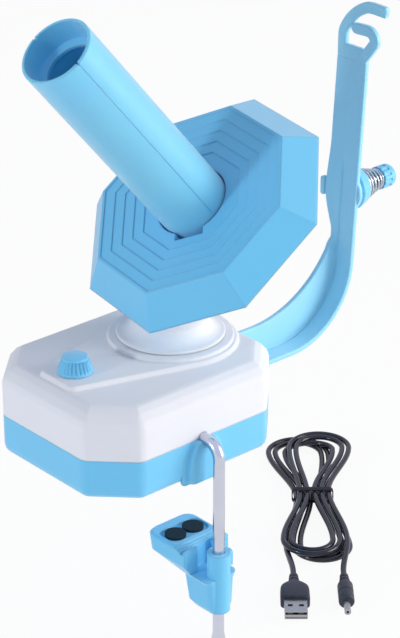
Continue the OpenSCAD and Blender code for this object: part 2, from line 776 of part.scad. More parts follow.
// Space that the disc, its cup and its hub sweep above the head
module disc_room() {
    wide = disc_rim_radius + 10;
    on_spindle() rotate_extrude() polygon([[0, 60], [wide, 60], [wide, -roof_depth], [cup_radius + 1.2,
        -roof_depth],
        [cup_radius + 1.2, -cup_back - 1.2], [hub_radius + 1.5, -cup_back - 1.2], [hub_radius + 1.5,
            -bush_front],
        [0, -bush_front]]);
}

// Space for the two bevel gears
module bevel_room() {
    top = sun_high + 1;
    translate([turret_x, 0, sun_low - 1.2]) cylinder(r1 = sun_room, r2 = sun_room_top,
        h = top - sun_low + 1.2);
    spindle_round(planet_room, cap_seat + 5, bush_back);
}

// Round lid that closes the drum and holds the tail of the spindle
module housing_cap() {
    color(white) difference() {
        union() {
            spindle_round(drum_radius, cap_back, cap_seat);
            spindle_round(spindle_radius + 3, cap_seat + eps, planet_low + face_gap);
        }
        spindle_round(spindle_radius + run_gap, cap_back + 1, 0);
        for (a = [30 : 60 : 330]) on_spindle() rotate([0, 0, a]) translate([planet_room + drum_wall / 2,
            0, -cap_back - 1])
            cylinder(r = 0.7, h = 7);
    }
}

module housing_screws() {
    color(steel) for (a = [30 : 60 : 330]) on_spindle() rotate([0, 0, a])
        translate([planet_room + drum_wall / 2, 0, -cap_back]) screw(0.58, 0.98, 7);
}

module spindle_bush() {
    color(brass) difference() {
        spindle_round(spindle_radius + bush_wall, bush_back, bush_front);
        spindle_round(spindle_radius + run_gap, bush_back + 1, bush_front - 1);
    }
}

module spindle_shaft() {
    color(steel) difference() {
        spindle_round(spindle_radius, shaft_back, cup_floor);
        spindle_round(screw_radius + press_gap, cup_floor + 10, cup_floor - 1);
        on_spindle() translate([0, 0, -shaft_back + 1]) difference() {
            cylinder(r = spindle_radius + 1, h = 1);
            translate([0, 0, -1]) cylinder(r = spindle_radius - 0.6, h = 4);
        }
    }
}

module planet_gear() {
    color(white) difference() {
        union() {
            on_spindle() rotate([0, 0, 180 / planet_teeth]) bevel_teeth(planet_teeth, planet_cone,
                bevel_reach, bevel_inner);
            spindle_round(spindle_radius + 4, planet_low - 1, bush_back + face_gap);
        }
        spindle_round(spindle_radius + press_gap, planet_low + 5, 20);
    }
}

// Split ring in the groove at the tail of the spindle
module spindle_clip() {
    color(steel) on_spindle() translate([0, 0, -shaft_back + 1 + 0.1]) linear_extrude(0.8) difference() {
        circle(r = spindle_radius + 1.6);
        circle(r = spindle_radius - 0.6 + press_gap);
        translate([0, -1.2]) square([20, 2.4]);
    }
}

// Octagon on the spindle, from corner radius r1 at depth a to r2 at the shallower depth b
module octagon(r1, r2, a, b) {
    on_spindle() rotate([0, 0, octagon_turn]) translate([0, 0, -a]) cylinder(r1 = r1, r2 = r2, h = a - b,
        $fn = 8);
}

// Hollow octagon dish with a stepped face, a cup for the core tube and a hub on the spindle
module winding_disc() {
    draft = (disc_rim_radius - disc_face_radius) / disc_depth;
    rim_depth = disc_drop + disc_depth;
    inset = disc_wall / cos(22.5) * sqrt(1 + draft * draft);
    color(blue) difference() {
        union() {
            difference() {
                octagon(disc_rim_radius, disc_face_radius, rim_depth, disc_drop);
                octagon(disc_rim_radius - inset + draft, disc_face_radius - inset + draft * plate_step(1),
                    rim_depth + 1, plate_back);
            }
            for (i = [1 : face_steps]) octagon(step_radius(i), step_radius(i), plate_back + plate_step(i),
                plate_back - 1);
            spindle_round(cup_radius, cup_back, disc_drop + 1);
            spindle_round(hub_radius, hub_back, cup_floor);
        }
        for (i = [1 : face_steps]) octagon(step_radius(i), step_radius(i), disc_drop + plate_step(i), 0);
        spindle_round(hole_radius, cup_floor, 0);
        spindle_round(spindle_radius + press_gap, hub_back + 1, 0);
        on_spindle() rotate([0, 0, notch_turn]) translate([hole_radius - 6, -notch_size.x / 2,
            -disc_drop - 7])
            cube([notch_size.y + 6, notch_size.x, 20]);
    }
}

// Corner radius of step i of the disc face and its depth below the rim of the face
function step_radius(i) = disc_face_radius * mix(0.97, 0.52, (i - 1) / (face_steps - 1));
function plate_step(i) = i * step_height;

// Thin tube with an inner ledge below its mouth, a rounded foot, a parting line and two nicks in the rim
module core_tube() {
    mouth = tube_height - disc_drop;
    inner = tube_radius - tube_wall;
    ledge = 3.6;
    foot = 3;
    nick = [1.2, 1];
    seam = 0.3;
    color(blue) on_spindle() difference() {
        rotate_extrude() polygon(concat(
            [[0, -cup_floor], [tube_radius - foot, -cup_floor]],
            [for (a = [-60 : 30 : 0]) [tube_radius - foot + foot * cos(a),
                -cup_floor + foot + foot * sin(a)]],
            [[tube_radius, mouth - 0.5], [tube_radius - 0.5, mouth], [inner, mouth], [inner,
                mouth - mouth_depth],
            [inner - ledge, mouth - mouth_depth - 1.2], [inner - ledge, mouth - mouth_depth - 3],
            [inner, mouth - mouth_depth - 6], [inner, -cup_floor + tube_floor + 2],
            [inner - 2, -cup_floor + tube_floor], [0, -cup_floor + tube_floor]]));
        translate([0, 0, -cup_floor - 1]) cylinder(r = screw_radius + press_gap, h = 12);
        for (a = [84, 264]) rotate([0, 0, a]) {
            translate([inner - 2, -nick.x / 2, mouth - nick.y]) cube([8, nick.x, nick.y + 1]);
            translate([tube_radius - seam, -seam / 2, -disc_drop]) cube([1, seam, mouth + disc_drop + 1]);
        }
    }
}

module disc_screw() {
    color(steel) on_spindle() translate([0, 0, -cup_floor + tube_floor]) mirror([0, 0, 1])
        screw(screw_radius, screw_head, 9);
}

module control_board() {
    color("seagreen") translate([board_corner.x, board_corner.y, board_low]) {
        cube(board_size);
        translate([6, 8, board_size.z - eps]) cube([7, 7, 2]);
        translate([20, 19, board_size.z - eps]) cylinder(r = 3, h = 8);
        translate([20, 8, board_size.z - eps]) cube([6, 6, 4]);
        translate([5, 20, board_size.z - eps]) cube([8, 5, 6]);
    }
}

module speed_potentiometer() {
    low = cavity_top - pot_height;
    color(steel) difference() {
        union() {
            translate([knob_x, 0, low]) cylinder(r = pot_radius, h = pot_height);
            translate([knob_x, 0, cavity_top - eps]) cylinder(r = pot_nose, h = plateau_top - cavity_top);
            translate([knob_x - 12, -5, low + 2]) cube([8, 10, 1.6]);
        }
        translate([knob_x, 0, low + 1]) cylinder(r = pot_shaft + run_gap, h = 40);
    }
}

module potentiometer_shaft() {
    low = cavity_top - pot_height + 1 + face_gap;
    color(steel) translate([knob_x, 0, low]) cylinder(r = pot_shaft, h = pot_shaft_top - low);
}

// Knob outline at radius r, with flutes of depth d
function knob_ring(r, d) = [for (k = [0 : 4 * knob_flutes - 1])
    let (a = 90 * k / knob_flutes, cut = k % 4 == 0 ? d : k % 4 == 2 ? 0 : d * 0.35) (r - cut) * [cos(a),
        sin(a)]];

module knob_body() {
    flute = 0.9;
    rim = 1.2;
    loft([at_height(knob_ring(knob_radius, 0), 0), at_height(knob_ring(knob_radius, 0), rim),
        at_height(knob_ring(knob_radius - 0.2, flute), rim + 0.6),
        at_height(knob_ring(mix(knob_radius, knob_top_radius, 0.75), flute), knob_height * 0.72),
        at_height(knob_ring(mix(knob_radius, knob_top_radius, 0.82), 0), knob_height * 0.82),
        at_height(knob_ring(knob_top_radius, 0), knob_height * 0.95),
        at_height(knob_ring(knob_top_radius - 1, 0), knob_height)]);
}

module speed_knob() {
    color(blue) difference() {
        translate([knob_x, 0, knob_low]) knob_body();
        translate([knob_x, 0, knob_low - 1]) cylinder(r = pot_shaft + press_gap,
            h = pot_shaft_top - knob_low + 1.1);
    }
}

// Barrel socket: a block inside the back wall with a nose that fills the hole in the wall
module dc_jack() {
    inside = base_width / 2 - base_wall;
    depth = 12;
    color(black) difference() {
        union() {
            translate([jack_x - 4.5, inside - depth, jack_z - 5.5]) cube([9, depth - eps, 11]);
            translate([jack_x, inside - 1, jack_z]) rotate([-90, 0, 0]) cylinder(r = jack_nose,
                h = 1 + base_wall);
        }
        translate([jack_x, inside - depth + 2, jack_z]) rotate([-90, 0, 0])
            cylinder(r = dc_barrel_radius + 0.1, h = 30);
    }
}

// Place on the crease of the arm after a run of s, and the direction of its concave side there
function arm_angle(s) = s < arm_flat ? 0 : min(arm_arc, (s - arm_flat) / arm_bend_radius * 180 / PI);
function arm_place(s) =
    let (a = arm_angle(s), beyond = max(0, s - arm_flat - arc_length))
    let (along = min(s, arm_flat) + arm_bend_radius * sin(a) + beyond * sin(arm_lean))
    [arm_root_x + along, arm_height + arm_bend_radius * (1 - cos(a)) + beyond * cos(arm_lean)];

// The second leg is a web in the plane of the curve, whose edge follows a wider circle and runs out on the upright.
// There it twists to a leaf that grows wider up to the tensioner and flattens above it.
twist_start = arm_flat + arc_length + 5;
twist_end = twist_start + 12;
leaf_end = twist_end + 22;
fade_end = leaf_end + 26;
function leg_angle(s) = s < leaf_end ? mix(90, 14, ease((s - twist_start) / (twist_end - twist_start)))
    : mix(14, 1.5, ease((s - leaf_end) / (fade_end - leaf_end)));
function web_width(s) =
    let (a = arm_angle(s), p = arm_place(s) - web_centre)
    let (b = p * [-sin(a), cos(a)], inside = b * b - p * p + web_radius * web_radius)
    inside < 0 ? 0 : min(arm_web_width + web_swell, -b - sqrt(inside));
function leaf_width(s) = mix(leaf_root, arm_leaf_width, ease((s - twist_start) / (leaf_end - twist_start)));
function leg_width(s) = arm_place(s).x < web_centre.x ? arm_web_width : max(leaf_width(s), web_width(s));

// Section of the arm after a run of s: a flat flange and a second leg that meets it at the crease
function arm_section(s) =
    let (a = leg_angle(s), d = [cos(a), sin(a)], m = [-sin(a), cos(a)], tip = leg_width(s) * d)
    let (turn = arm_angle(s), place = arm_place(s))
    [for (q = [[-arm_flange_width, -arm_thick], [arm_thick * tan(a / 2), -arm_thick], tip - arm_thick * m,
        tip, [0, 0],
        [-arm_flange_width, 0]])
        [place.x - q[1] * sin(turn), arm_crease_y + q[0], place.y + q[1] * cos(turn)]];

module guide_arm() {
    steps = concat([0, arm_flat - 18], [for (k = [1 : 3]) arm_flat - 18 + 4.5 * k], [for (k = [0 : 12])
        arm_flat + arc_length * k / 12],
        [for (k = [1 : 18]) mix(arm_flat + arc_length, fade_end, k / 18)], [arm_length]);
    color(blue) difference() {
        union() {
            loft([for (s = steps) arm_section(s)]);
            on_stud() translate([0, 0, pad_front]) cylinder(r = pad_radius, h = pad_deep - pad_front);
            on_stud() translate([0, 6.4, 0.4]) cylinder(r = 7.8, h = arm_thick);
            yarn_hook();
        }
        on_stud() translate([0, 0, pad_front]) cylinder(r = stud_radius + press_gap, h = 20);
        on_stud() translate([-7, 10.6, -1]) cube([14, 0.8, 2]);
    }
}

// Band of a given width along a list of points in a plane
function band(points, width) =
    let (last = len(points) - 1)
    let (sides = [for (i = [0 : last])
        let (t = unit(points[min(i + 1, last)] - points[max(i - 1, 0)])) [-t.y, t.x] * width / 2])
    concat([for (i = [0 : last]) points[i] - sides[i]], [for (i = [last : -1 : 0]) points[i] + sides[i]]);
function arc(centre, r, from, to, n) = [for (k = [0 : n]) let (a = mix(from, to, k / n))
    centre + r * [cos(a), sin(a)]];

// Flat pigtail at the top of the arm, drawn with Y to the left edge and height above the hook foot
module yarn_hook() {
    left = arm_crease_y + arm_leaf_width;
    right = arm_crease_y - arm_flange_width;
    half = hook_band / 2;
    post = concat([[left - half, -1], [left - half, 12]], arc([left - 32, 3], 31.5, 24, 68, 6),
        [[left - 25, 32.6], [left - 34.4, 32.2]]);
    tip = [right + 8.4, 19];
    curl = concat([[right + 6, 0], [right - 1.2, 9]], arc([right + 0.2, 14.2], 5.4, 180, 80, 5), [tip]);
    translate([upright_x + upright_length * sin(arm_lean), 0, hook_height]) difference() {
        rotate([90, 0, 90]) linear_extrude(arm_thick) union() {
            polygon([[right, -1], [left, -1], [left, 2], [left - hook_band, 9], [right + 4, 9], [right, 2]]);
            polygon(band(post, hook_band));
            polygon(band(curl, hook_band));
            translate(tip) circle(r = half, $fn = 24);
        }
        translate([0, right + 7, 2]) rotate([0, atan2(arm_thick - 0.8, 7), 0]) translate([-10, 0, 0])
            cube([10, left - hook_band - right - 7, 20]);
    }
}

module tension_stud() {
    seat = pad_front + eps;
    color(steel) on_stud() translate([0, 0, seat]) cylinder(r = stud_radius,
        h = spring_end + cap_length - 1 - seat);
}

// Cup that the spring presses towards the pad of the arm, so that the yarn drags between them
module tension_disc() {
    lip = pad_radius;
    waist = spring_wide - 1.2;
    color(blue) on_stud() rotate_extrude() polygon([[stud_radius + run_gap, disc_seat], [lip - 1, disc_seat],
        [lip, disc_seat + 1], [lip, disc_seat + 2], [spring_wide + 1, disc_seat + disc_deep],
        [waist - 1.2, disc_seat + disc_deep], [waist - 1.2, disc_seat + disc_deep - 2],
        [stud_radius + run_gap, disc_seat + disc_deep - 2]]);
}

function spring_path() = [for (k = [0 : 8 * spring_turns])
    let (t = k / (8 * spring_turns), r = mix(spring_wide, spring_narrow, t), a = 45 * k)
    [r * cos(a), r * sin(a), mix(spring_start + spring_wire / 2 + 0.1, spring_end - spring_wire / 2 - 0.1,
        t)]];

module tension_spring() {
    color(steel) on_stud() tube_along(spring_path(), spring_wire / 2);
}

// Adjusting nut with a ribbed rim and a rounded end
module tension_cap() {
    color(blue) on_stud() difference() {
        translate([0, 0, spring_end]) rotate_extrude() polygon([[0, 0], [cap_radius, 0], [cap_radius,
            cap_length - 2],
            [cap_radius - 0.6, cap_length - 0.6], [cap_radius - 2, cap_length], [0, cap_length]]);
        cylinder(r = stud_radius + press_gap, h = spring_end + cap_length - 0.9);
        for (a = [0 : 30 : 330]) rotate([0, 0, a]) translate([cap_radius + 0.5, 0, spring_end - 1])
            cylinder(r = 1, h = cap_length - 3);
    }
}

// Hooked rod: a straight end through the shells, a bend over the lug and a long leg down
module clamp_rod() {
    tip = 4;
    color(steel) difference() {
        union() {
            translate([rod_x, rod_y + rod_bend, rod_z]) rotate([-90, 0, 0])
                cylinder(r = rod_radius, h = rod_inside - rod_y - rod_bend);
            translate([rod_x, rod_y + rod_bend, rod_z - rod_bend]) rotate([0, 0, 90]) rotate([90, 0, 0])
                rotate([0, 0, 90]) rotate_extrude(angle = 90) translate([rod_bend, 0]) circle(r = rod_radius);
            translate([rod_x, rod_y, rod_end]) cylinder(r = rod_radius, h = rod_z - rod_bend - rod_end);
            translate([rod_x, rod_y, rod_end]) cylinder(r1 = rod_radius + 0.7, r2 = rod_radius, h = tip);
        }
        translate([rod_x, rod_inside - 4, rod_z]) rotate([-90, 0, 0]) difference() {
            cylinder(r = rod_radius + 1, h = 1.2);
            translate([0, 0, -1]) cylinder(r = rod_radius - 0.6, h = 4);
        }
    }
}

// Spring clip in the groove of the rod, inside the base
module rod_clip() {
    color(steel) translate([rod_x, rod_inside - 4 + 0.1, rod_z]) rotate([-90, 0, 0]) linear_extrude(1)
        difference() {
        circle(r = rod_radius + 1.8);
        circle(r = rod_radius - 0.6 + press_gap);
        translate([-1.2, 0]) square([2.4, 20]);
    }
}

// Sliding jaw: a sleeve on the rod, a rib and a platform that presses up under the table
module clamp_slider() {
    half = platform_width / 2;
    under = platform_top - platform_thick;
    color(blue) difference() {
        union() {
            on_rod() translate([0, 0, slider_low]) cylinder(r = slider_sleeve, h = slider_height);
            on_rod() jaw_body(half, under);
            on_rod() thumb_tab();
        }
        on_rod() translate([0, 0, slider_low - 1]) cylinder(r = rod_radius + run_gap + 0.02,
            h = slider_height + 2);
        on_rod() translate([0, pad_reach, platform_top - pad_recess]) linear_extrude(10)
            polygon(rounded(box_points(-half + 2.2, half - 2.2, -7, 7), 4));
    }
}

// Body of the jaw with the pocket beside the sleeve cut away
module jaw_body(half, under) {
    pocket = 13.5;
    difference() {
        loft([at_height(rounded(box_points(-6, 6, -3, 13), 2.6), slider_low),
            at_height(rounded(box_points(-7.5, 7.5, -3.4, 16), 3), slider_low + 2.5),
            at_height(rounded(box_points(-8.5, 8.5, -3.4, 18), 3.2), web_top - 3),
            at_height(rounded(box_points(-half, half, -3.4, platform_reach - 1.5), 6), under),
            at_height(rounded(box_points(-half, half, -3.4, platform_reach), 6), platform_top - 1.2),
            at_height(rounded(box_points(-half + 1, half - 1, -3.4, platform_reach - 1), 5.4),
                platform_top)]);
        translate([-half - 1, -10, web_top]) cube([2 * half + 2, 10 + pocket - 4, 60]);
        translate([-6, 0, web_top]) cube([12, pocket, 60]);
        cylinder(r = slider_sleeve - 1, h = 300, center = true);
        for (k = [0 : 2]) translate([-half - 1, pocket - 3 + 2 * k, platform_top - 2.4 + 0.8 * k])
            cube([2 * half + 2, 2.2, 20]);
    }
}

// Tab beside the sleeve for the thumb
module thumb_tab() {
    translate([slider_sleeve - 1, 0, slider_high - 10]) rotate([90, 0, 90]) linear_extrude(2.6)
        polygon(rounded(box_points(-2.4, 2.4, 0, 9.4), 1.6));
}

module clamp_pads() {
    color(black) for (x = [-1, 1]) on_rod() translate([x * pad_spacing / 2, pad_reach,
        platform_top - pad_recess])
        cylinder(r = clamp_pad_radius, h = pad_thick);
}

// Turn rate of the hank: how many steps out from the tightest turn after u turns
hank_total = 2 * hank_turns - 1.25;
function hank_out(u) = abs(u - hank_total / 2);
function hank_lift(u) = hank_low + layer_step * ease((u - hank_total / 2) / 0.5 + 0.5);

// Place on the hank after u turns: 24 rings to a turn, 6 on each run and 6 on each end
function hank_point(u) =
    let (f = u - floor(u), out = hank_out(u) * turn_step, z = hank_lift(u))
    let (end = tightest_turn + out, side = f < 0.5 ? 1 : -1, g = f < 0.5 ? f : f - 0.5)
    let (x = side * mix(-hank_half, hank_half, g / 0.25), a = side * 90 - (g - 0.25) / 0.25 * 180)
    g < 0.25 ? [x, side * (end - hank_draw * (1 - ease(abs(x) / hank_half))), z]
        : [side * hank_half + end * cos(a), end * sin(a), z];

// Lead from a plug to the run that it joins
function lead(x, y, z, far) =
    [[x, y, z], [x + cable_diameter * 1.2, y, z], each [for (k = [1 : 4]) let (t = k / 5)
        [mix(x + cable_diameter * 1.2, far.x, t), mix(y, far.y, ease(t)), mix(z, far.z, ease(t))]]];

function hank_path() =
    let (turns = [for (k = [0 : 24 * hank_total]) hank_point(k / 24)], last = len(turns) - 1)
    let (first = lead(lead_start, usb_lead_y, plug_axis, turns[0]), final = lead(lead_start, dc_lead_y,
        plug_axis, turns[last]))
    concat(first, turns, [for (k = [len(final) - 1 : -1 : 0]) final[k]]);

module usb_cable() {
    color(black) on_hank() tube_along(hank_path(), cable_radius);
}

// Flat tie round the waist of the hank
module cable_tie() {
    wide = tightest_turn + hank_total / 2 * turn_step - hank_draw + cable_radius + tie_gap;
    high = layer_step + 2 * cable_radius + 2 * tie_gap;
    color(black) on_hank() translate([-tie_width / 2, 0, 0]) rotate([90, 0, 90]) linear_extrude(tie_width)
        difference() {
        polygon(rounded(box_points(-wide - tie_thick, wide + tie_thick, 0, high + 2 * tie_thick), 2.5));
        polygon(rounded(box_points(-wide, wide, tie_thick, tie_thick + high), 2));
    }
}

// Places the children at the face of a plug, with +Z along the cable towards the hank
module on_lead(y) {
    on_hank() translate([lead_start, y, plug_axis]) rotate([90, 0, 90]) children();
}

// Moulded grip of the USB plug with a stepped strain relief
module usb_plug_body() {
    color(black) on_lead(usb_lead_y) {
        translate([0, 0, -relief_length]) cylinder(r1 = 3.2, r2 = 2.4, h = relief_length);
        translate([0, 0, -relief_length + 3]) cylinder(r = 3.3, h = 1.6);
        translate([0, 0, -relief_length - 2.4]) linear_extrude(2.5) polygon(rounded(box_points(-6, 6,
            -3.4, 3.4), 2));
        translate([0, 0, -relief_length - usb_body.x]) linear_extrude(usb_body.x - 2.3)
            polygon(rounded(box_points(-usb_body.y / 2, usb_body.y / 2, -usb_body.z / 2, usb_body.z / 2), 2));
    }
}

// Folded steel shell of the USB plug, open at its mouth, with its tongue
module usb_plug_shell() {
    wall = 0.4;
    color(steel) on_lead(usb_lead_y) translate([0, 0, -relief_length - usb_body.x - usb_shell.x]) {
        difference() {
            translate([-usb_shell.y / 2, -usb_shell.z / 2, 0]) cube([usb_shell.y, usb_shell.z, usb_shell.x]);
            translate([-usb_shell.y / 2 + wall, -usb_shell.z / 2 + wall, -1])
                cube([usb_shell.y - 2 * wall, usb_shell.z - 2 * wall, usb_shell.x - 1]);
            for (x = [-1, 1]) translate([x * 2.9 - 1.25, -5, usb_shell.x - 7.4]) cube([2.5, 10, 2.2]);
        }
        translate([-usb_shell.y / 2 + wall - eps, -usb_shell.z / 2 + wall - eps, 0.6])
            cube([usb_shell.y - 2 * wall + 2 * eps, 1.9, usb_shell.x - 1]);
    }
}

module dc_plug_body() {
    color(black) on_lead(dc_lead_y) {
        translate([0, 0, -relief_length]) cylinder(r1 = 3, r2 = 2.3, h = relief_length);
        translate([0, 0, -relief_length + 3]) cylinder(r = 3.1, h = 1.6);
        translate([0, 0, -relief_length - dc_body_length]) cylinder(r = dc_body_radius,
            h = dc_body_length + eps);
    }
}

module dc_plug_barrel() {
    color(steel) on_lead(dc_lead_y) translate([0, 0, -relief_length - dc_body_length - dc_barrel_length])
        difference() {
        cylinder(r = dc_barrel_radius, h = dc_barrel_length);
        translate([0, 0, -1]) cylinder(r = 0.7, h = dc_barrel_length);
    }
}

echo(cable_length = path_length(hank_path()) / 1000);
echo(cable_gap = least_gap(hank_path(), 12) - cable_diameter);
echo(spring_gap = least_gap(spring_path(), 6) - spring_wire);

bottom_shell();
top_cover();
foot_pads();
shell_screws();
drive_motor();
motor_bracket();
motor_screws();
motor_shaft();
motor_pinion();
reduction_axle();
reduction_gear();
center_post();
sun_gear();
turret_gear();
turret_sleeve();
lower_bush();
upper_bush();
turret_housing();
housing_cap();
housing_screws();
spindle_bush();
spindle_shaft();
planet_gear();
spindle_clip();
winding_disc();
core_tube();
disc_screw();
control_board();
speed_potentiometer();
potentiometer_shaft();
speed_knob();
dc_jack();
guide_arm();
tension_stud();
tension_disc();
tension_spring();
tension_cap();
clamp_rod();
rod_clip();
clamp_slider();
clamp_pads();
usb_cable();
cable_tie();
usb_plug_body();
usb_plug_shell();
dc_plug_body();
dc_plug_barrel();
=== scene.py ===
import math

import bmesh
import bpy
import numpy as np
from mathutils import Matrix


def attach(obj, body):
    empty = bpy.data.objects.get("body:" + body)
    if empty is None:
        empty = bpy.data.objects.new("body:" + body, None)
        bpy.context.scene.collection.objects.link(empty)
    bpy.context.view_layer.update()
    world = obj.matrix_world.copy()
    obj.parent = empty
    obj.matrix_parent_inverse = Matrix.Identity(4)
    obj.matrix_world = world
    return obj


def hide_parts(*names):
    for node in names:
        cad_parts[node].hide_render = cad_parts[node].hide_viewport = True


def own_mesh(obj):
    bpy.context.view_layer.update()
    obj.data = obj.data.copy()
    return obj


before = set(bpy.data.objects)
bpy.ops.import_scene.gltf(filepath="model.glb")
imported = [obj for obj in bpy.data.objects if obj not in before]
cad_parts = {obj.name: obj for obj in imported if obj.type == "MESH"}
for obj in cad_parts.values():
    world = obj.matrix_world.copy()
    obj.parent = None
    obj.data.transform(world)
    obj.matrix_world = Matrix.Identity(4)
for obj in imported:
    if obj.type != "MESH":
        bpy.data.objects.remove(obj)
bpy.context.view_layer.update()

bpy.context.scene.view_settings.view_transform = "Standard"


# Camera. It stands in front of the knob end and the clamp side, a little above the winding disc,
# with a long lens, so that upright edges stay nearly upright.
eye_turn, eye_rise = math.radians(-41.54), math.radians(25.48)
eye_far, eye_aside, eye_above = 1.2003, 0.03215, 0.06117
lens_pixels, picture_height, sensor = 2318, 638, 36


def placed(x, y, z, at):
    """Matrix of an object from its three axes and its place."""
    return Matrix(np.vstack([np.column_stack([x, y, z, at]), [0, 0, 0, 1]]).tolist())


back = np.array([math.sin(eye_turn) * math.cos(eye_rise),
                 -math.cos(eye_turn) * math.cos(eye_rise),
                 math.sin(eye_rise)])
right = np.array([math.cos(eye_turn), math.sin(eye_turn), 0.0])
up = np.cross(back, right)
camera = bpy.data.objects.new("camera", bpy.data.cameras.new("camera"))
camera.data.lens = lens_pixels / picture_height * sensor
camera.data.sensor_width = sensor
camera.matrix_world = placed(right, up, back, eye_far * back + eye_aside * right + eye_above * up)
bpy.context.scene.collection.objects.link(camera)
bpy.context.scene.camera = camera


# USB power cable. A thin black PVC lead wound into a flat hank of two layers, drawn in at the waist
# by a tie, with a moulded plug on each end. It lies by itself beside the winder. The sizes of this and
# every other piece are in millimetres.
cable_d, cable_sides, layer_gap = 3.2, 20, 0.55
turn_step, tightest, hank_half, hank_draw, hank_total = 3.95, 9.6, 52.0, 9.5, 4.75
fan_far, fan_near = 6.0, 2.4
tie_thick, tie_gap = 0.5, 0.3
hank_low, layer = tie_thick + tie_gap + cable_d / 2, cable_d + layer_gap
hank_place, hank_angle = np.array([132.0, 4.0, -90.5]), math.radians(48.5)
lead_x, usb_y, dc_y, plug_z = -87.0, 14.0, -13.0, 4.2
lead_straight = 1.2 * cable_d
turn_points, lead_points, last_bit = 96, 24, 1e-6
half_turn, quarter_turn = 0.5, 0.25


def ease(t):
    """Smooth rise 3t^2 - 2t^3 from 0 to 1."""
    t = np.clip(t, 0, 1)
    return t * t * (3 - 2 * t)


def hank_turns(u):
    """Place after u turns: straight runs that draw in at the waist, joined by half circles, each a
    quarter of the turn. The circles' radius grows by one step a turn away from the middle turn, where
    the route climbs a layer. The layers fan apart beyond the waist, by most at the far end."""
    f = u - np.floor(u)
    end = tightest + turn_step * np.abs(u - hank_total / 2)
    side = np.where(f < half_turn, 1.0, -1.0)
    g = f % half_turn
    run_x = side * (2 * hank_half * g / quarter_turn - hank_half)
    run_y = side * (end - hank_draw * (1 - ease(np.abs(run_x) / hank_half)))
    a = np.radians(side * 90 - (g - quarter_turn) / quarter_turn * 180)
    straight = g < quarter_turn
    climb = ease((u - hank_total / 2) / half_turn + 0.5)
    x = np.where(straight, run_x, side * hank_half + end * np.cos(a))
    y = np.where(straight, run_y, end * np.sin(a))
    fan = np.where(x > 0, fan_far, -fan_near) * ease(np.abs(x) / (hank_half + tightest))
    return np.column_stack([x, y + (1 - 2 * climb) * fan, hank_low + layer * climb])


def lead(y, far):
    """Straight out of the plug for a little over a diameter, then an easy bend to the run it joins."""
    t = np.linspace(0, 1, lead_points + 1)[:-1]
    start = lead_x + lead_straight
    bend = np.column_stack([start + (far[0] - start) * t,
                            y + (far[1] - y) * ease(t),
                            plug_z + (far[2] - plug_z) * ease(t)])
    return np.vstack([[lead_x, y, plug_z], bend])


def on_hank(points):
    """Turns points beside the hank's own middle to their place on the floor."""
    c, s = math.cos(hank_angle), math.sin(hank_angle)
    return np.asarray(points) @ np.array([[c, s, 0], [-s, c, 0], [0, 0, 1]]) + hank_place


def tube(path, radius, sides, normal=(0.0, 0.0, 1.0)):
    """A circle carried along a path: its plane is square to the path, and its first point lies on the
    side that is square to both the path and the given normal."""
    along = np.gradient(path, axis=0)
    along /= np.linalg.norm(along, axis=1, keepdims=True)
    side = np.cross(np.broadcast_to(normal, path.shape), along)
    side /= np.linalg.norm(side, axis=1, keepdims=True)
    over = np.cross(along, side)
    a = np.linspace(0, 2 * np.pi, sides, endpoint=False)[None, :, None]
    return path[:, None] + radius * (np.cos(a) * side[:, None] + np.sin(a) * over[:, None])


def patch(grid, ends=True):
    """Quads over a grid of points, rows along the piece and columns round it, with the last column
    joined to the first. Ends closes the first and last rows with one face each."""
    rows, cols = grid.shape[:2]
    number = np.arange(rows * cols).reshape(rows, cols)
    beside = np.roll(number, -1, axis=1)
    quads = np.stack([number[:-1], beside[:-1], beside[1:], number[1:]], -1).reshape(-1, 4)
    caps = [number[:1, ::-1], number[-1:]] if ends else []
    return grid.reshape(-1, 3), [quads, *caps]


def piece(name, patches, material, body, replaced, sharp=32):
    """One mesh object from patches in millimetres: points are merged, faces turned outwards and edges
    steeper than the sharp angle kept crisp. It rides on its body and stands for the CAD node named."""
    millimetre, touching = 0.001, 2e-6
    points, faces, start = [], [], 0
    for verts, groups in patches:
        points.append(verts * millimetre)
        for group in groups:
            faces += (group + start).tolist()
        start += len(verts)
    mesh = bpy.data.meshes.new(name)
    mesh.from_pydata(np.concatenate(points).tolist(), [], faces)
    work = bmesh.new()
    work.from_mesh(mesh)
    bmesh.ops.remove_doubles(work, verts=work.verts, dist=touching)
    bmesh.ops.recalc_face_normals(work, faces=work.faces)
    work.to_mesh(mesh)
    work.free()
    mesh.shade_smooth()
    mesh.set_sharp_from_angle(angle=math.radians(sharp))
    mesh.materials.append(material)
    made = bpy.data.objects.new(name, mesh)
    bpy.context.scene.collection.objects.link(made)
    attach(made, body)
    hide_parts(replaced)
    return made


class Signal:
    """One socket of a material's nodes. Sums, differences and products of signals and numbers add Math
    nodes, and add() makes any other node from its type, its settings and the values or links of its
    sockets, which go by name, with _ for a space, or as i0, i1 and so on by number."""

    def __init__(self, tree, socket=None):
        self.tree, self.socket = tree, socket

    def add(self, kind, settings=None, out=0, **sockets):
        node = self.tree.nodes.new("ShaderNode" + kind)
        for key, value in (settings or {}).items():
            setattr(node, key, value)
        for key, value in sockets.items():
            numbered = key[0] == "i" and key[1:].isdigit()
            target = node.inputs[int(key[1:]) if numbered else key.replace("_", " ")]
            if isinstance(value, Signal):
                self.tree.links.new(value.socket, target)
            else:
                target.default_value = value
        return Signal(self.tree, node.outputs[out])

    def math(self, operation, a, b):
        return self.add("Math", {"operation": operation}, i0=a, i1=b)

    def __add__(self, other): return self.math("ADD", self, other)
    def __radd__(self, other): return self.math("ADD", other, self)
    def __sub__(self, other): return self.math("SUBTRACT", self, other)
    def __rsub__(self, other): return self.math("SUBTRACT", other, self)
    def __mul__(self, other): return self.math("MULTIPLY", self, other)
    def __rmul__(self, other): return self.math("MULTIPLY", other, self)

    def into(self, node, name):
        self.tree.links.new(self.socket, node.inputs[name])


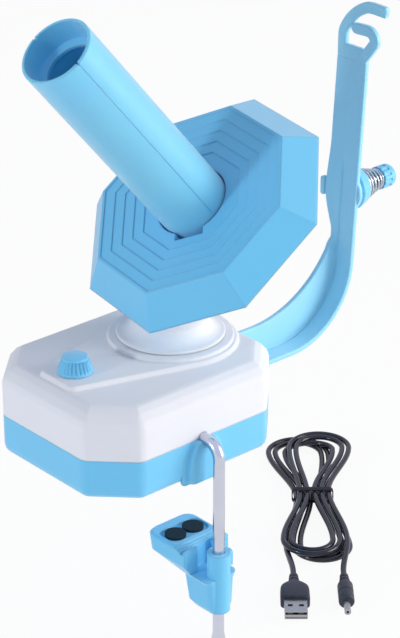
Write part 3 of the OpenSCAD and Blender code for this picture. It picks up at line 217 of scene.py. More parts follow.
def finish_named(name, colour, roughness, **constants):
    """A material with one Principled shader: its constant sockets are set here, and the place on the
    object is returned with it as a signal for what changes over the surface."""
    material = bpy.data.materials.new(name)
    material.use_nodes = True
    shader = material.node_tree.nodes["Principled BSDF"]
    shader.inputs["Base Color"].default_value = (*colour, 1)
    shader.inputs["Roughness"].default_value = roughness
    for key, value in constants.items():
        shader.inputs[key.replace("_", " ")].default_value = value
    place = Signal(material.node_tree).add("TexCoord", out=3)
    return material, shader, place


def clouds(place, scale, detail=2.0, **more):
    """Soft noise from 0 to 1, with this many spots to a metre."""
    return place.add("TexNoise", Vector=place, Scale=scale, Detail=detail, **more)


def tinted(signal, low, high):
    """Colour between two by a signal from 0 to 1. The first may be a signal too."""
    first = low if isinstance(low, Signal) else (*low, 1)
    return signal.add("Mix", {"data_type": "RGBA"}, out=2, i0=signal, i6=first, i7=(*high, 1))


def raised(shader, height, strength, deep=0.0002, **rounded):
    """Bump of a height signal, over a rounded normal where one is given, into the shader's normal."""
    height.add("Bump", Strength=strength, Distance=deep, Height=height, **rounded).into(shader, "Normal")


steps = np.linspace(0, hank_total, int(hank_total * turn_points) + 1)[:-1]
turns = hank_turns(np.append(steps, hank_total - last_bit))
route = on_hank(np.vstack([lead(usb_y, turns[0]), turns, lead(dc_y, turns[-1])[::-1]]))

pvc, shader, place = finish_named("black cable PVC", (0.012, 0.011, 0.022), 0.22, Specular_IOR_Level=0.45)
cloud = clouds(place, 140.0, detail=4.0)
tinted(cloud, (0.008, 0.0075, 0.016), (0.017, 0.016, 0.03)).into(shader, "Base Color")
(0.14 + 0.12 * cloud).into(shader, "Roughness")
raised(shader, clouds(place, 1900.0), strength=0.12)
cable = piece("cable", [patch(tube(route, cable_d / 2, cable_sides))], pvc,
              "base", "usb_cable", sharp=60)


# Tie. A flat strap of ribbed black plastic that is drawn once round the waist of the hank and holds its
# two layers together. Its outer edges are rounded off.
tie_half, tie_flat, tie_edge, tie_corner, corner_points = 2.0, 1.7, 0.8 * tie_thick, 2.0, 7
tie_wide = tightest + hank_total / 2 * turn_step - hank_draw + cable_d / 2 + tie_gap
tie_high = layer + cable_d + 2 * tie_gap


def at_x(x, ring):
    """A ring of Y and Z places set at one place along X."""
    return np.column_stack([np.full(len(ring), x), ring])


def tie_ring(grow):
    """Rounded rectangle round the bundle, grown outwards: a quarter circle about each corner's centre."""
    a = np.radians(np.concatenate([np.linspace(k, k + 90, corner_points) for k in (0, 90, 180, 270)]))
    nudge = 1e-4
    centre_y = np.sign(np.cos(a + nudge)) * (tie_wide - tie_corner)
    centre_z = tie_thick + np.where(np.sin(a + nudge) > 0, tie_high - tie_corner, tie_corner)
    return np.column_stack([centre_y + (tie_corner + grow) * np.cos(a),
                            centre_z + (tie_corner + grow) * np.sin(a)])


tie_profile = [(-tie_half, 0.0), (-tie_half, tie_edge), (-tie_flat, tie_thick),
               (tie_flat, tie_thick), (tie_half, tie_edge), (tie_half, 0.0), (-tie_half, 0.0)]
tie_rings = np.array([at_x(x, tie_ring(grow)) for x, grow in tie_profile])
strap, shader, place = finish_named("tie strap", (0.012, 0.011, 0.02), 0.6, Specular_IOR_Level=0.25)
ribs = place.add("TexWave", {"bands_direction": "DIAGONAL"}, out=1, Vector=place, Scale=420.0, Distortion=0.4)
(0.52 + 0.2 * ribs).into(shader, "Roughness")
raised(shader, ribs, strength=0.25)
tie = piece("tie", [patch(on_hank(tie_rings), ends=False)], strap, "base", "cable_tie")


# USB plug. A black PVC grip moulded over the lead, with a strain relief of three ribs that widens into
# flat shoulders, on a folded and plated steel shell.
ring_points = 48
usb_stations = [
    (0.0, 2.3, 2.3, 2), (-0.2, 2.45, 2.45, 2), (-2.6, 2.65, 2.65, 2), (-2.8, 2.2, 2.2, 2),
    (-3.7, 2.2, 2.2, 2), (-3.9, 2.8, 2.8, 2), (-6.0, 3.0, 3.0, 2), (-6.2, 2.4, 2.4, 2),
    (-7.0, 2.4, 2.4, 2), (-7.2, 3.1, 3.1, 2), (-8.9, 3.3, 3.2, 2.2), (-9.1, 3.8, 3.3, 2.6),
    (-9.8, 4.6, 3.5, 3), (-10.8, 5.5, 3.7, 3.6), (-12.0, 6.3, 3.9, 4.2), (-13.4, 7.0, 4.1, 5),
    (-15.2, 7.5, 4.2, 6), (-17.5, 7.75, 4.2, 6), (-25.0, 7.8, 4.2, 6), (-25.7, 7.6, 4.0, 6),
    (-26.0, 7.2, 3.7, 6)]


def rounded_ring(half_y, half_z, power):
    """Superellipse |y/a|^p + |z/b|^p = 1."""
    a = np.linspace(0, 2 * np.pi, ring_points, endpoint=False)
    c, s = np.cos(a), np.sin(a)
    return np.column_stack([half_y * np.sign(c) * np.abs(c) ** (2 / power),
                            half_z * np.sign(s) * np.abs(s) ** (2 / power)])


def moulding(y, stations):
    """Superellipse rings along a plug: each station gives the place along it, two half widths and a
    power."""
    grid = np.array([at_x(lead_x + x, rounded_ring(a, b, p)) for x, a, b, p in stations])
    return on_hank(grid + np.array([0, y, plug_z]))


def streaks(place, per_metre, detail=4.0, **turned):
    """Noise drawn out into lines: its frequencies along X, Y and Z, after a turn where one is given."""
    return clouds(place.add("Mapping", Vector=place, Scale=per_metre, **turned), 1.0, detail)


def dress(material, *names):
    """Puts one material on CAD nodes."""
    for name in names:
        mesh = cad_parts[name].data
        mesh.materials.clear()
        mesh.materials.append(material)


grip, shader, place = finish_named("plug grip", (0.026, 0.026, 0.043), 0.5)
cloud = clouds(place, 220.0, detail=3.0)
tinted(cloud, (0.018, 0.018, 0.032), (0.034, 0.034, 0.054)).into(shader, "Base Color")
(0.42 + 0.2 * cloud).into(shader, "Roughness")
raised(shader, clouds(place, 2600.0), strength=0.3)
usb_grip = piece("usb_grip", [patch(moulding(usb_y, usb_stations))], grip,
                 "base", "usb_plug_body", sharp=40)

plug_steel, shader, place = finish_named("plug steel", (0.39, 0.39, 0.41), 0.3, Metallic=1.0)
brush = streaks(place, (120.0, 1800.0, 1800.0), detail=3.0, Rotation=(0, 0, -hank_angle))
(0.22 + 0.2 * brush).into(shader, "Roughness")
tinted(brush, (0.30, 0.30, 0.32), (0.48, 0.48, 0.49)).into(shader, "Base Color")
dress(plug_steel, "usb_plug_shell")


# Barrel plug. A round grip moulded from the same PVC with the same ribbed relief, and one groove round
# its middle, on a turned steel barrel.
relief_stations, relief_widest, relief_share = 11, 3.2, 0.96
dc_stations = [
    (x, min(a, relief_widest) * relief_share, min(b, relief_widest) * relief_share, 2)
    for x, a, b, p in usb_stations[:relief_stations]]
dc_stations += [
    (-9.0, 3.6, 3.6, 2), (-9.6, 4.0, 4.0, 2), (-10.4, 4.2, 4.2, 2), (-17.0, 4.2, 4.2, 2),
    (-17.2, 3.9, 3.9, 2), (-18.2, 3.9, 3.9, 2), (-18.4, 4.2, 4.2, 2), (-25.2, 4.2, 4.2, 2),
    (-25.8, 3.9, 3.9, 2), (-26.0, 3.5, 3.5, 2)]
dc_grip = piece("dc_grip", [patch(moulding(dc_y, dc_stations))], grip,
                "base", "dc_plug_body", sharp=40)
dress(plug_steel, "dc_plug_barrel")


# Floor and light. A pale floor at the level of the clamp rod's end, seen as the white studio sweep it
# continues, and a pale tent of light with a low softbox beyond the clamp and a weak one by the knob.
floor_z, floor_half, floor_white = -0.0908, 4, 0.93
tent_light, tent_seen = 0.51, 0.49


def seen_plainly(tree):
    """1 for rays from the camera, from metal and through glass, which see the backdrop itself, and 0
    for the rays that light the object."""
    rays = Signal(tree).add("LightPath").socket.node.outputs
    camera_ray, glossy_ray, clear_ray = [
        Signal(tree, rays[name]) for name in ("Is Camera Ray", "Is Glossy Ray", "Is Transmission Ray")]
    return camera_ray.math("MAXIMUM", camera_ray.math("MAXIMUM", camera_ray, glossy_ray), clear_ray)


def softbox(name, place, aim, size, watts, colour):
    """An area lamp that faces its aim."""
    lamp = bpy.data.objects.new(name, bpy.data.lights.new(name, "AREA"))
    lamp.data.size, lamp.data.energy, lamp.data.color = size, watts, colour
    z = np.array(place) - np.array(aim)
    z /= np.linalg.norm(z)
    x = np.cross([0, 0, 1], z)
    x /= np.linalg.norm(x)
    lamp.matrix_world = placed(x, np.cross(z, x), z, place)
    bpy.context.scene.collection.objects.link(lamp)


plane = bpy.data.meshes.new("floor")
floor_corners = floor_half * np.array([(-1, -1), (1, -1), (1, 1), (-1, 1)])
plane.from_pydata(np.column_stack([floor_corners, np.full(4, floor_z)]).tolist(), [], [(0, 1, 2, 3)])
floor = bpy.data.objects.new("floor", plane)
bpy.context.scene.collection.objects.link(floor)
pale, shader, place = finish_named("pale floor", (0.95, 0.95, 0.955), 0.85)
(0.82 + 0.06 * clouds(place, 40.0)).into(shader, "Roughness")
glow = place.add("Emission", Color=(1, 1, 1, 1), Strength=1.0)
lit = place.add("MixShader", i0=floor_white * seen_plainly(pale.node_tree),
                i1=Signal(pale.node_tree, shader.outputs[0]), i2=glow)
lit.into(pale.node_tree.nodes["Material Output"], "Surface")
plane.materials.append(pale)

softbox("clamp_side_softbox", place=(1.0, -1.02, 0.46), aim=(0.03, 0, 0.08),
        size=0.9, watts=17.0, colour=(1.0, 0.97, 0.925))
softbox("knob_side_softbox", place=(-1.32, 0.1, 0.37), aim=(0.02, 0, 0.12),
        size=0.16, watts=5.0, colour=(0.95, 0.98, 1.0))
tent = bpy.data.worlds.new("tent")
tent.use_nodes = True
bpy.context.scene.world = tent
canvas = tent.node_tree.nodes["Background"]
canvas.inputs["Color"].default_value = (0.80, 0.85, 1.0, 1)
(tent_light + tent_seen * seen_plainly(tent.node_tree)).into(canvas, "Strength")


# Base shells. A blue lower tray and a white cover, moulded in ABS with a fine spark texture, meet at a
# seam all round and are held by four screws from below; four rubber feet sit in pockets of the tray.
blue_colour, white_colour, steel_colour = (0.17, 0.62, 0.925), (0.86, 0.862, 0.885), (0.56, 0.57, 0.60)
satin = dict(Specular_IOR_Level=0.45, Sheen_Weight=0.6, Sheen_Roughness=0.45)


def shade(colour, times, plus=0.0):
    """A colour made darker or lighter, and kept below full white."""
    palest = 0.97
    return tuple(np.clip(np.array(colour) * times + plus, 0, palest))


def rounded_edges(place, radius):
    """Normal that is rounded within a radius, in metres, of every edge."""
    return place.add("Bevel", {"samples": 6}, Radius=radius)


def on_edges(place, soft):
    """How far a rounded normal turns from the flat one: 0 on faces and about 0.3 on a square edge."""
    flat_normal = place.add("NewGeometry", out=1)
    return 1.0 - place.add("VectorMath", {"operation": "DOT_PRODUCT"}, out=1, i0=soft, i1=flat_normal)


def moulded(name, colour, roughness, edge, **constants):
    """A satin moulding: its colour drifts by a few percent, edges get a painted pale highlight and are
    rubbed smoother, gloss is uneven, and edges are rounded in shading by the given radius in metres."""
    material, shader, place = finish_named(name, colour, roughness, **constants)
    soft = rounded_edges(place, edge)
    patchy = clouds(place, 210.0, detail=4.0)
    # Painted highlight: near edges the base colour is mixed towards a paler colour. The same mask lowers
    # roughness there, as rubbed wear.
    worn_and_highlit_edges = place.add("MapRange", Value=on_edges(place, soft) * (0.4 + patchy),
                       From_Min=0.02, From_Max=0.22, To_Min=0.0, To_Max=0.22)
    drift = clouds(place, 26.0, detail=5.0, Roughness=0.6)
    base = tinted(drift, shade(colour, 0.965), shade(colour, 1.03))
    tinted(worn_and_highlit_edges, base, shade(colour, 0.6, 0.38)).into(shader, "Base Color")
    gloss = clouds(place, 90.0, detail=3.0)
    (roughness - 0.05 + 0.12 * gloss - 0.3 * worn_and_highlit_edges).into(shader, "Roughness")
    raised(shader, clouds(place, 1500.0), strength=0.06, Normal=soft)
    return material


def metal(name, colour, roughness, edge, per_metre):
    """A machined or drawn metal: fine streaks along one axis, edges rounded in shading and paler in colour,
    and gloss that changes with the streaks, whose frequencies along X, Y and Z are given."""
    material, shader, place = finish_named(name, colour, roughness, Metallic=1.0)
    line = streaks(place, per_metre)
    soft = rounded_edges(place, edge)
    # Base colour made paler near edges.
    paler_edges = place.math("MINIMUM", 2.0 * on_edges(place, soft), 0.6)
    base = tinted(line, shade(colour, 0.86), shade(colour, 1.1))
    tinted(paler_edges, base, shade(colour, 1.25, 0.03)).into(shader, "Base Color")
    (roughness - 0.07 + 0.14 * line).into(shader, "Roughness")
    raised(shader, line, strength=0.05, Normal=soft)
    return material


blue = moulded("blue ABS", blue_colour, 0.42, edge=0.0012, **satin)
white = moulded("white ABS", white_colour, 0.58, edge=0.0016, Specular_IOR_Level=0.3)
dress(blue, "bottom_shell")
dress(white, "top_cover")

rubber, shader, place = finish_named("foot rubber", (0.004, 0.02, 0.034), 0.7, Specular_IOR_Level=0.3)
crumb = clouds(place, 420.0, detail=4.0)
tinted(crumb, (0.001, 0.012, 0.022), (0.004, 0.024, 0.038)).into(shader, "Base Color")
(0.5 + 0.3 * crumb).into(shader, "Roughness")
raised(shader, clouds(place, 1400.0), strength=0.25, deep=0.0003, Normal=rounded_edges(place, 0.0005))
dress(rubber, "foot_pads")

screw_steel = metal("zinc screws", steel_colour, 0.34, edge=0.0003, per_metre=(900.0, 900.0, 900.0))
dress(screw_steel, "shell_screws")


# Drive. A small can motor under a sheet bracket turns a brass pinion, a nylon wheel pair brings the
# speed down, and the last wheel turns the sleeve of the head round a fixed steel post.
can = metal("motor can", (0.60, 0.61, 0.63), 0.28, edge=0.0004, per_metre=(300.0, 300.0, 2400.0))
sheet = metal("galvanised sheet", (0.62, 0.64, 0.66), 0.38, edge=0.0003, per_metre=(160.0, 160.0, 160.0))
ground_steel = metal("ground shafts", steel_colour, 0.22, edge=0.0003, per_metre=(240.0, 240.0, 5200.0))
brass = metal("brass", (0.66, 0.46, 0.19), 0.3, edge=0.0003, per_metre=(320.0, 320.0, 3200.0))
dress(can, "drive_motor")
dress(sheet, "motor_bracket")
dress(screw_steel, "motor_screws")
dress(ground_steel, "motor_shaft", "reduction_axle", "center_post", "turret_sleeve")
dress(brass, "motor_pinion", "lower_bush", "upper_bush")

nylon, shader, place = finish_named("gear nylon", (0.80, 0.78, 0.71), 0.4, Specular_IOR_Level=0.5)
milk = clouds(place, 120.0, detail=5.0)
grease = place.add("MapRange", Value=milk, From_Min=0.55, From_Max=0.72, To_Min=0.0, To_Max=0.4)
base = tinted(milk, (0.74, 0.72, 0.64), (0.85, 0.83, 0.77))
tinted(grease, base, (0.52, 0.49, 0.40)).into(shader, "Base Color")
(0.46 - 0.5 * grease).into(shader, "Roughness")
raised(shader, clouds(place, 900.0), strength=0.08, Normal=rounded_edges(place, 0.0003))
dress(nylon, "reduction_gear", "turret_gear", "sun_gear", "planet_gear")


# Turning head. A white dome rides on the sleeve and carries the tilted spindle in a bush behind a cap;
# the planet wheel on the spindle rolls round the fixed sun wheel.
dress(white, "turret_housing", "housing_cap")
dress(screw_steel, "housing_screws", "disc_screw")
dress(brass, "spindle_bush")
dress(ground_steel, "spindle_shaft")
dress(sheet, "spindle_clip")


# Winding disc and core tube. A hollow blue octagon dish with a stepped face, and a thin blue tube that
# stands in its cup and is held by one screw; the yarn is wound on the tube.
# Painted light: the tube's base colour is a paler copy of the blue, standing for the light on its lit side.
# The subsurface glow through its thin wall is real.
tube_blue_painted_lit = moulded("thin blue wall painted paler as lit", (0.21, 0.64, 0.93), 0.4, edge=0.0006, Subsurface_Weight=0.45,
                    Subsurface_Radius=(0.2, 0.7, 1.0), Subsurface_Scale=0.005, **satin)
dress(blue, "winding_disc")
dress(tube_blue_painted_lit, "core_tube")


# Speed control. A fluted blue knob on the shaft of a potentiometer under the cover, a small control
# board on four posts and a barrel socket in the back wall.
resin, shader, place = finish_named("board laminate", (0.02, 0.13, 0.06), 0.4)
weave_place = place.add("Mapping", Vector=place, Scale=(420.0, 420.0, 420.0))
row = place.add("TexBrick", {"offset": 0.5}, out=1, Vector=weave_place, Scale=1.0)
weave = clouds(place, 700.0, detail=3.0)
tinted(row, (0.016, 0.11, 0.05), (0.05, 0.22, 0.1)).into(shader, "Base Color")
(0.28 + 0.25 * weave).into(shader, "Roughness")
raised(shader, weave, strength=0.15)
dress(resin, "control_board")
socket_black = moulded("socket plastic", (0.021, 0.021, 0.026), 0.5, edge=0.0004)
dress(socket_black, "dc_jack")
dress(sheet, "speed_potentiometer")
dress(ground_steel, "potentiometer_shaft")

knob_x, knob_z, knob_h, bore_r, bore_deep = -40.0, 51.7, 9.2, 3.02, 7.0
knob_r, cone_r, knob_top, cone_low, cone_high = 9.0, 8.7, 6.5, 2.4, 6.9
dome_r, dome_low, dome_rise, dome_in, crown_rise = knob_top + 0.25, 7.8, 1.0, 0.2, 0.4
flutes, flute_points, flute_deep, flute_power = 26, 12, 1.0, 0.7
cone_rows, dome_rows, crown_rows = 14, 10, 8


def knob_surface():
    """Revolved profile whose radius is cut by flutes: r - depth * ((1 + cos(26 a)) / 2)^0.7. The depth
    is nothing at the foot, full up the cone and fades below the domed top. Each row of the profile is
    a radius, a height and a depth of flute, from the bore round the foot to the middle of the top."""
    bore = [[0, bore_deep, 0], [bore_r, bore_deep, 0], [bore_r, 0, 0]]
    foot = [[knob_r - 0.5, 0, 0], [knob_r - 0.15, 0.15, 0], [knob_r, 0.5, 0], [knob_r, 1.1, 0],
            [knob_r - 0.1, 1.35, 0.15], [knob_r - 0.2, 1.7, 0.75], [cone_r, 2.2, flute_deep]]
    up_cone = np.linspace(0.06, 1, cone_rows)
    cone = np.column_stack([cone_r + (knob_top + 0.45 - cone_r) * up_cone,
                            np.linspace(cone_low, cone_high, cone_rows),
                            np.full(cone_rows, flute_deep)])
    brow = [[knob_top + 0.42, 7.2, 0.75], [knob_top + 0.36, 7.45, 0.35], [knob_top + 0.3, 7.65, 0.06]]
    a = np.linspace(0, np.pi / 2, dome_rows)
    dome = np.column_stack([dome_r * (1 - dome_in * (1 - np.cos(a))),
                            dome_low + dome_rise * np.sin(a),
                            np.zeros(dome_rows)])
    inward = np.linspace(0.95, 0, crown_rows)
    crown = np.column_stack([inward * dome_r * (1 - dome_in),
                             knob_h - crown_rise + crown_rise * (1 - inward ** 2),
                             np.zeros(crown_rows)])
    r, z, depth = np.vstack([bore, foot, cone, brow, dome, crown]).T[..., None]
    a = np.linspace(0, 2 * np.pi, flutes * flute_points, endpoint=False)
    r = r - depth * ((1 + np.cos(flutes * a)) / 2) ** flute_power
    return np.stack([knob_x + r * np.cos(a), r * np.sin(a), np.broadcast_to(knob_z + z, r.shape)], -1)


piece("knob", [patch(knob_surface(), ends=False)], blue, "knob", "speed_knob", sharp=50)


# Guide arm. One blue moulding that leaves the end wall as an angle, sweeps up in a quarter circle, twists
# to a shallow vee with a round pad for the tensioner and ends in a flat pigtail hook for the yarn.
root_x, bend_x, bend_r, root_z, lean = 50.0, 98.0, 41.5, 22.5, math.radians(3.6)
crease_y, flange, thick = -1.6, 11.5, 3.0
web_wide, web_r, web_swell, web_back = 15.5, 64.0, 6.0, 18.0
leaf_small, leaf_wide = 2.6, 9.6
leg_square, leg_leaf, leg_top = 90.0, 14.0, 1.5
groove_half, groove_deep, groove_least, groove_fade = 0.8, 1.0, 0.03, 8.0
edge_soft, inner_soft, groove_soft = 0.9, 1.8, 0.25
flat_rows, arc_rows, leaf_rows, top_rows = 17, 60, 90, 12
hook_z, hook_wide, hook_step, hook_soft, into_hook = 171.0, 6.0, 0.4, 0.8, 1.5
plate_inset, tab_back, neck_in = 0.06, 2.3, 1.5
flat, arc = bend_x - root_x, math.pi / 2 - lean
arc_end = flat + bend_r * arc
upright_x, upright_z = bend_x + bend_r * math.sin(arc), root_z + bend_r * (1 - math.cos(arc))
arm_run = arc_end + (hook_z - upright_z) / math.cos(lean)
twist_a, twist_b, leaf_b, groove_b, fade_b = arc_end + np.array([5, 17, 39, 50, 65])
left, right_edge = crease_y + leaf_wide, crease_y - flange
hook_place = np.array([upright_x + (hook_z - upright_z) * math.tan(lean), 0.0, hook_z])
stud_place = np.array([141.647, -3.0, 100.0])
tab_place = np.array([stud_place[0] - tab_back, 0.0, stud_place[2]])


def unit(v):
    """Vectors of length one along the last axis."""
    return v / np.linalg.norm(v, axis=-1, keepdims=True)


def soften(corners, radii, n=5):
    """Outlines with each corner replaced by an arc: the arc starts and ends radius / tan(half the corner
    angle) from the corner, and points between turn evenly about its centre. One more point just beyond
    each end keeps the flat sides flat in shading."""
    a, b = unit(np.roll(corners, 1, 1) - corners), unit(np.roll(corners, -1, 1) - corners)
    half = np.arccos(np.clip((a * b).sum(-1, keepdims=True), -1, 1)) / 2
    radii = np.atleast_2d(radii)[..., None]
    centre = corners + unit(a + b) * radii / np.sin(half)
    reach, beyond = radii / np.tan(half), 0.1 * radii
    start, end = corners + a * reach - centre, corners + b * reach - centre
    k = np.linspace(0, 1, n).reshape(1, 1, n, 1)
    turn = (np.pi - 2 * half)[:, :, None]
    spokes = np.sin((1 - k) * turn) * start[:, :, None] + np.sin(k * turn) * end[:, :, None]
    arcs = centre[:, :, None] + spokes / np.sin(turn)
    before, after = corners + a * (reach + beyond), corners + b * (reach + beyond)
    return np.concatenate([before[:, :, None], arcs, after[:, :, None]], 2).reshape(len(corners), -1, 2)


def arm_surface():
    """Section carried along the crease: a flat flange, and a second leg turned from it by an angle that
    falls from square to nearly flat, with a vee groove between them that runs out up the arm. The leg is
    as wide as the gap to a larger circle round the bend until a leaf, which widens upwards, takes over."""
    s = np.concatenate([np.linspace(0, flat, flat_rows)[:-1],
                        np.linspace(flat, arc_end, arc_rows)[:-1],
                        np.linspace(arc_end, fade_b, leaf_rows)[:-1],
                        np.linspace(fade_b, arm_run + into_hook, top_rows)])
    bend, beyond = np.clip((s - flat) / bend_r, 0, arc), np.maximum(0, s - arc_end)
    x = root_x + np.minimum(s, flat) + bend_r * np.sin(bend) + beyond * math.sin(lean)
    z = root_z + bend_r * (1 - np.cos(bend)) + beyond * math.cos(lean)
    leg = np.radians(leg_square + (leg_leaf - leg_square) * ease((s - twist_a) / (twist_b - twist_a))
                     + (leg_top - leg_leaf) * ease((s - leaf_b) / (fade_b - leaf_b)))

    px, pz = x - (bend_x - web_back), z - (root_z + web_wide + web_r)
    b = -px * np.sin(bend) + pz * np.cos(bend)
    inside = b * b - px * px - pz * pz + web_r ** 2
    gap = np.minimum(web_wide + web_swell, -b - np.sqrt(np.maximum(inside, 0)))
    web = np.where((inside < 0) | (pz > 0), 0, gap)
    leaf = leaf_small + (leaf_wide - leaf_small) * ease((s - twist_a) / (leaf_b - twist_a))
    wide = np.where(px < 0, web_wide, np.maximum(web, leaf))

    def corner(aside, outward):
        """One corner of the section at every place along the arm."""
        return np.stack(np.broadcast_arrays(aside, outward, s)[:2], -1)

    tip = corner(wide * np.cos(leg), wide * np.sin(leg))
    across = corner(-np.sin(leg), np.cos(leg))
    deep = groove_least + groove_deep * (1 - ease((s - groove_b) / groove_fade))
    corners = np.stack([corner(-flange, -thick), corner(thick * np.tan(leg / 2), -thick),
                        tip - thick * across, tip, corner(0.0, 0.0), corner(-groove_half, -deep),
                        corner(-2 * groove_half, 0.0), corner(-flange, 0.0)], 1)
    ring = soften(corners, [edge_soft, inner_soft, edge_soft, edge_soft,
                            groove_soft, groove_soft, groove_soft, edge_soft])
    return np.stack([x[:, None] - ring[..., 1] * np.sin(bend)[:, None],
                     crease_y + ring[..., 0],
                     z[:, None] + ring[..., 1] * np.cos(bend)[:, None]], -1)


def walked(path):
    """Distance along a path at each of its points."""
    return np.concatenate([[0], np.cumsum(np.linalg.norm(np.diff(path, axis=0), axis=1))])


def flowing(points, soft):
    """Polyline walked in even steps and then averaged along its length, which rounds its corners: each
    place is the mean of its neighbours within the soft distance, weighted by a raised cosine."""
    p = np.vstack(points)
    p = np.vstack([p[0] + (p[0] - p[1]) * 0.5, p, p[-1] + unit(p[-1] - p[-2]) * soft])
    run = walked(p)
    at = np.arange(0, run[-1], hook_step)
    even = np.column_stack([np.interp(at, run, p[:, 0]), np.interp(at, run, p[:, 1])])
    weight = np.hanning(2 * round(soft / hook_step) + 1)
    return np.column_stack([np.convolve(even[:, k], weight / weight.sum(), "valid") for k in (0, 1)])


def ribbon(path, stretch):
    """Rounded rectangle carried along a path in the Y-Z plane, its depth along X. The width falls as
    sqrt(1 - t^2) over the last stretch: to a half circle over half the width, or else to a square end
    with its edge taken off. The corners' radius stays below half the width."""
    along = unit(np.gradient(path, axis=0))
    side = np.column_stack([-along[:, 1], along[:, 0]])
    run = walked(path)
    t = np.clip((run - run[-1] + stretch) / stretch, 0, 0.999)
    half = (hook_wide / 2 - stretch) + stretch * np.sqrt(1 - t * t)
    corners = np.stack([np.stack([k * half, np.full_like(half, d)], -1)
                        for k, d in ((-1, 0.0), (1, 0.0), (1, thick), (-1, thick))], 1)
    ring = soften(corners, np.minimum(hook_soft, 0.9 * half)[:, None] * np.ones(4))
    return np.concatenate([ring[..., 1:], path[:, None] + ring[..., :1] * side[:, None]], -1)


def slab(outline, radii, deep, soft):
    """Flat plate across X with its corners rounded and its edges taken off: near each face the outline
    is drawn in towards its middle as 1 - cos over a quarter turn, while the depth follows the sine."""
    outline = soften(np.array([outline]), radii)[0]
    a = np.linspace(0, np.pi / 2, 5)
    depth = np.concatenate([soft * (1 - np.sin(a[::-1])), deep - soft * (1 - np.sin(a))])
    inset = soft * (1 - np.cos(np.concatenate([a[::-1], a])))
    middle = (outline.min(0) + outline.max(0)) / 2
    drawn = middle + (outline - middle) * (1 - inset[:, None, None] / (outline.max(0) - middle))
    return np.concatenate([np.broadcast_to(depth[:, None, None], drawn.shape[:2] + (1,)), drawn], -1)


def arc_points(centre, r, start, stop, n):
    """Points on a circle between two angles, in degrees."""
    a = np.radians(np.linspace(start, stop, n))
    return np.column_stack([centre[0] + r * np.cos(a), centre[1] + r * np.sin(a)])


def revolved(profile, centre, sides=72):
    """Profile of radius and depth turned about the X axis through a centre."""
    p = np.asarray(profile, float)
    a = np.linspace(0, 2 * np.pi, sides, endpoint=False)
    return np.stack([p[:, 1:] * np.ones_like(a), p[:, :1] * np.cos(a), p[:, :1] * np.sin(a)], -1) + centre


post_path = flowing([[[left - 3, -6], [left - 3, 12]],
                     arc_points(centre=[left - 32, 3], r=31.5, start=24, stop=68, n=7),
                     [[left - 25, 32.6], [left - 34.4, 32.2]]], soft=3.0)
curl_path = flowing([[[right_edge + 8, -2.4], [right_edge - 1.2, 9]],
                     arc_points(centre=[right_edge + 0.2, 14.2], r=5.4, start=180, stop=80, n=6),
                     [[right_edge + 11.4, 19]]], soft=2.4)
plate = slab([[right_edge + 2, -8], [left - 2, -8], [left, 2],
              [left - 6, 9.2], [right_edge + 4, 9.2], [right_edge, 2]],
             radii=[0.4, 0.4, 1.5, 0.8, 0.8, 1.5], deep=thick - 2 * plate_inset, soft=0.7)
tab = slab([[8.6, -5.2], [11.4, -5.2], [11.4, 5.2], [8.6, 5.2]],
           radii=[0.6, 1.3, 1.3, 0.6], deep=thick, soft=0.6)
neck = slab([[3.0, -4.4], [10.0, -4.4], [10.0, 4.4], [3.0, 4.4]],
            radii=[0.6, 0.6, 0.6, 0.6], deep=2.0, soft=0.3)
pad_profile = [(0, 1.5), (11.0, 1.5), (11.6, 1.75), (11.8, 2.3),
               (11.8, 3.4), (11.6, 3.95), (11.0, 4.2), (0, 4.2)]
# Painted light: the arm is the same blue moulding, given a paler copy of the colour to stand for the light it
# catches.
arm_blue_painted_lit = moulded("blue arm painted paler as lit", (0.33, 0.74, 0.955), 0.42, edge=0.0008, **satin)
arm_patches = [patch(arm_surface()),
               patch(revolved(pad_profile, stud_place), ends=False),
               patch(tab + tab_place),
               patch(neck + tab_place + [neck_in, 0, 0]),
               patch(ribbon(post_path, stretch=edge_soft) + hook_place),
               patch(ribbon(curl_path, stretch=hook_wide / 2) + hook_place),
               patch(plate + hook_place + [plate_inset, 0, 0])]
piece("arm", arm_patches, arm_blue_painted_lit, "base", "guide_arm", sharp=48)


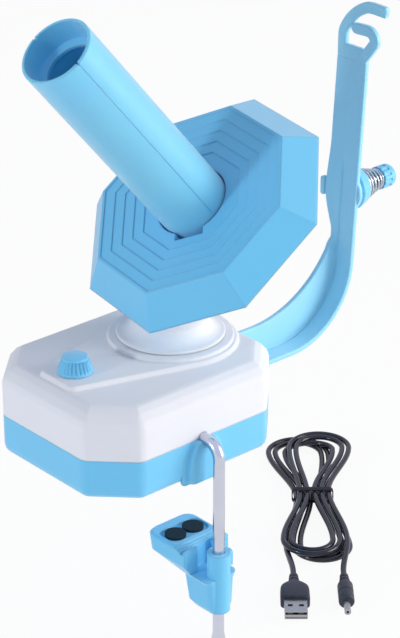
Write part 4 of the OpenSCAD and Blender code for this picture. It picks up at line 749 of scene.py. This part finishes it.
# Tensioner. A steel stud through the pad carries a blue cup, a conical spring of steel wire and a ribbed
# blue nut; the yarn drags between the pad and the cup, which can slide against the spring.
spring_a, spring_b, cup_travel = 153.847, 168.847, 4.0
coil_a, coil_b, coils, dead_turn, eased = 8.9, 5.0, 5, 0.625, 0.35
wire, wire_sides, wire_clear, wire_points = 1.1, 12, 0.05, 420
dress(ground_steel, "tension_stud")
dress(blue, "tension_disc", "tension_cap")


def spring_path():
    """Cone spiral about the stud with over half a dead turn lying flat at each end: the climb is partly
    even and partly eased in and out, and the radius falls in step with it."""
    turns = np.linspace(0, 1, wire_points) * (coils + 2 * dead_turn)
    climb = np.clip((turns - dead_turn) / coils, 0, 1)
    rise = eased * ease(climb) + (1 - eased) * climb
    r = coil_a + (coil_b - coil_a) * rise
    a = 2 * np.pi * turns
    x = spring_a + wire / 2 + wire_clear + (spring_b - spring_a - wire - 2 * wire_clear) * rise
    return np.column_stack([x, stud_place[1] + r * np.sin(a), stud_place[2] - r * np.cos(a)])


wire_steel = metal("spring wire", (0.60, 0.61, 0.64), 0.24, edge=0.0001, per_metre=(700.0, 700.0, 700.0))
spring = piece("spring", [patch(tube(spring_path(), wire / 2, wire_sides, normal=(1.0, 0.0, 0.0)))],
               wire_steel, "base", "tension_spring", sharp=60)
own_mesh(spring)


# Table clamp. A chromed rod hooks through the lug of the base and is kept by a clip; a blue jaw slides on
# its long leg and presses two rubber pads up under the table.
chrome, shader, place = finish_named("chromed rod", (0.58, 0.60, 0.70), 0.12, Metallic=1.0)
scuff = streaks(place, (1600.0, 1600.0, 90.0))
cloud = clouds(place, 60.0, detail=3.0)
tinted(cloud, (0.53, 0.55, 0.66), (0.66, 0.675, 0.76)).into(shader, "Base Color")
(0.13 + 0.14 * scuff).into(shader, "Roughness")
raised(shader, scuff, strength=0.03, Normal=rounded_edges(place, 0.0004))
dress(chrome, "clamp_rod")
dress(sheet, "rod_clip")
dress(blue, "clamp_slider")
dress(rubber, "clamp_pads")
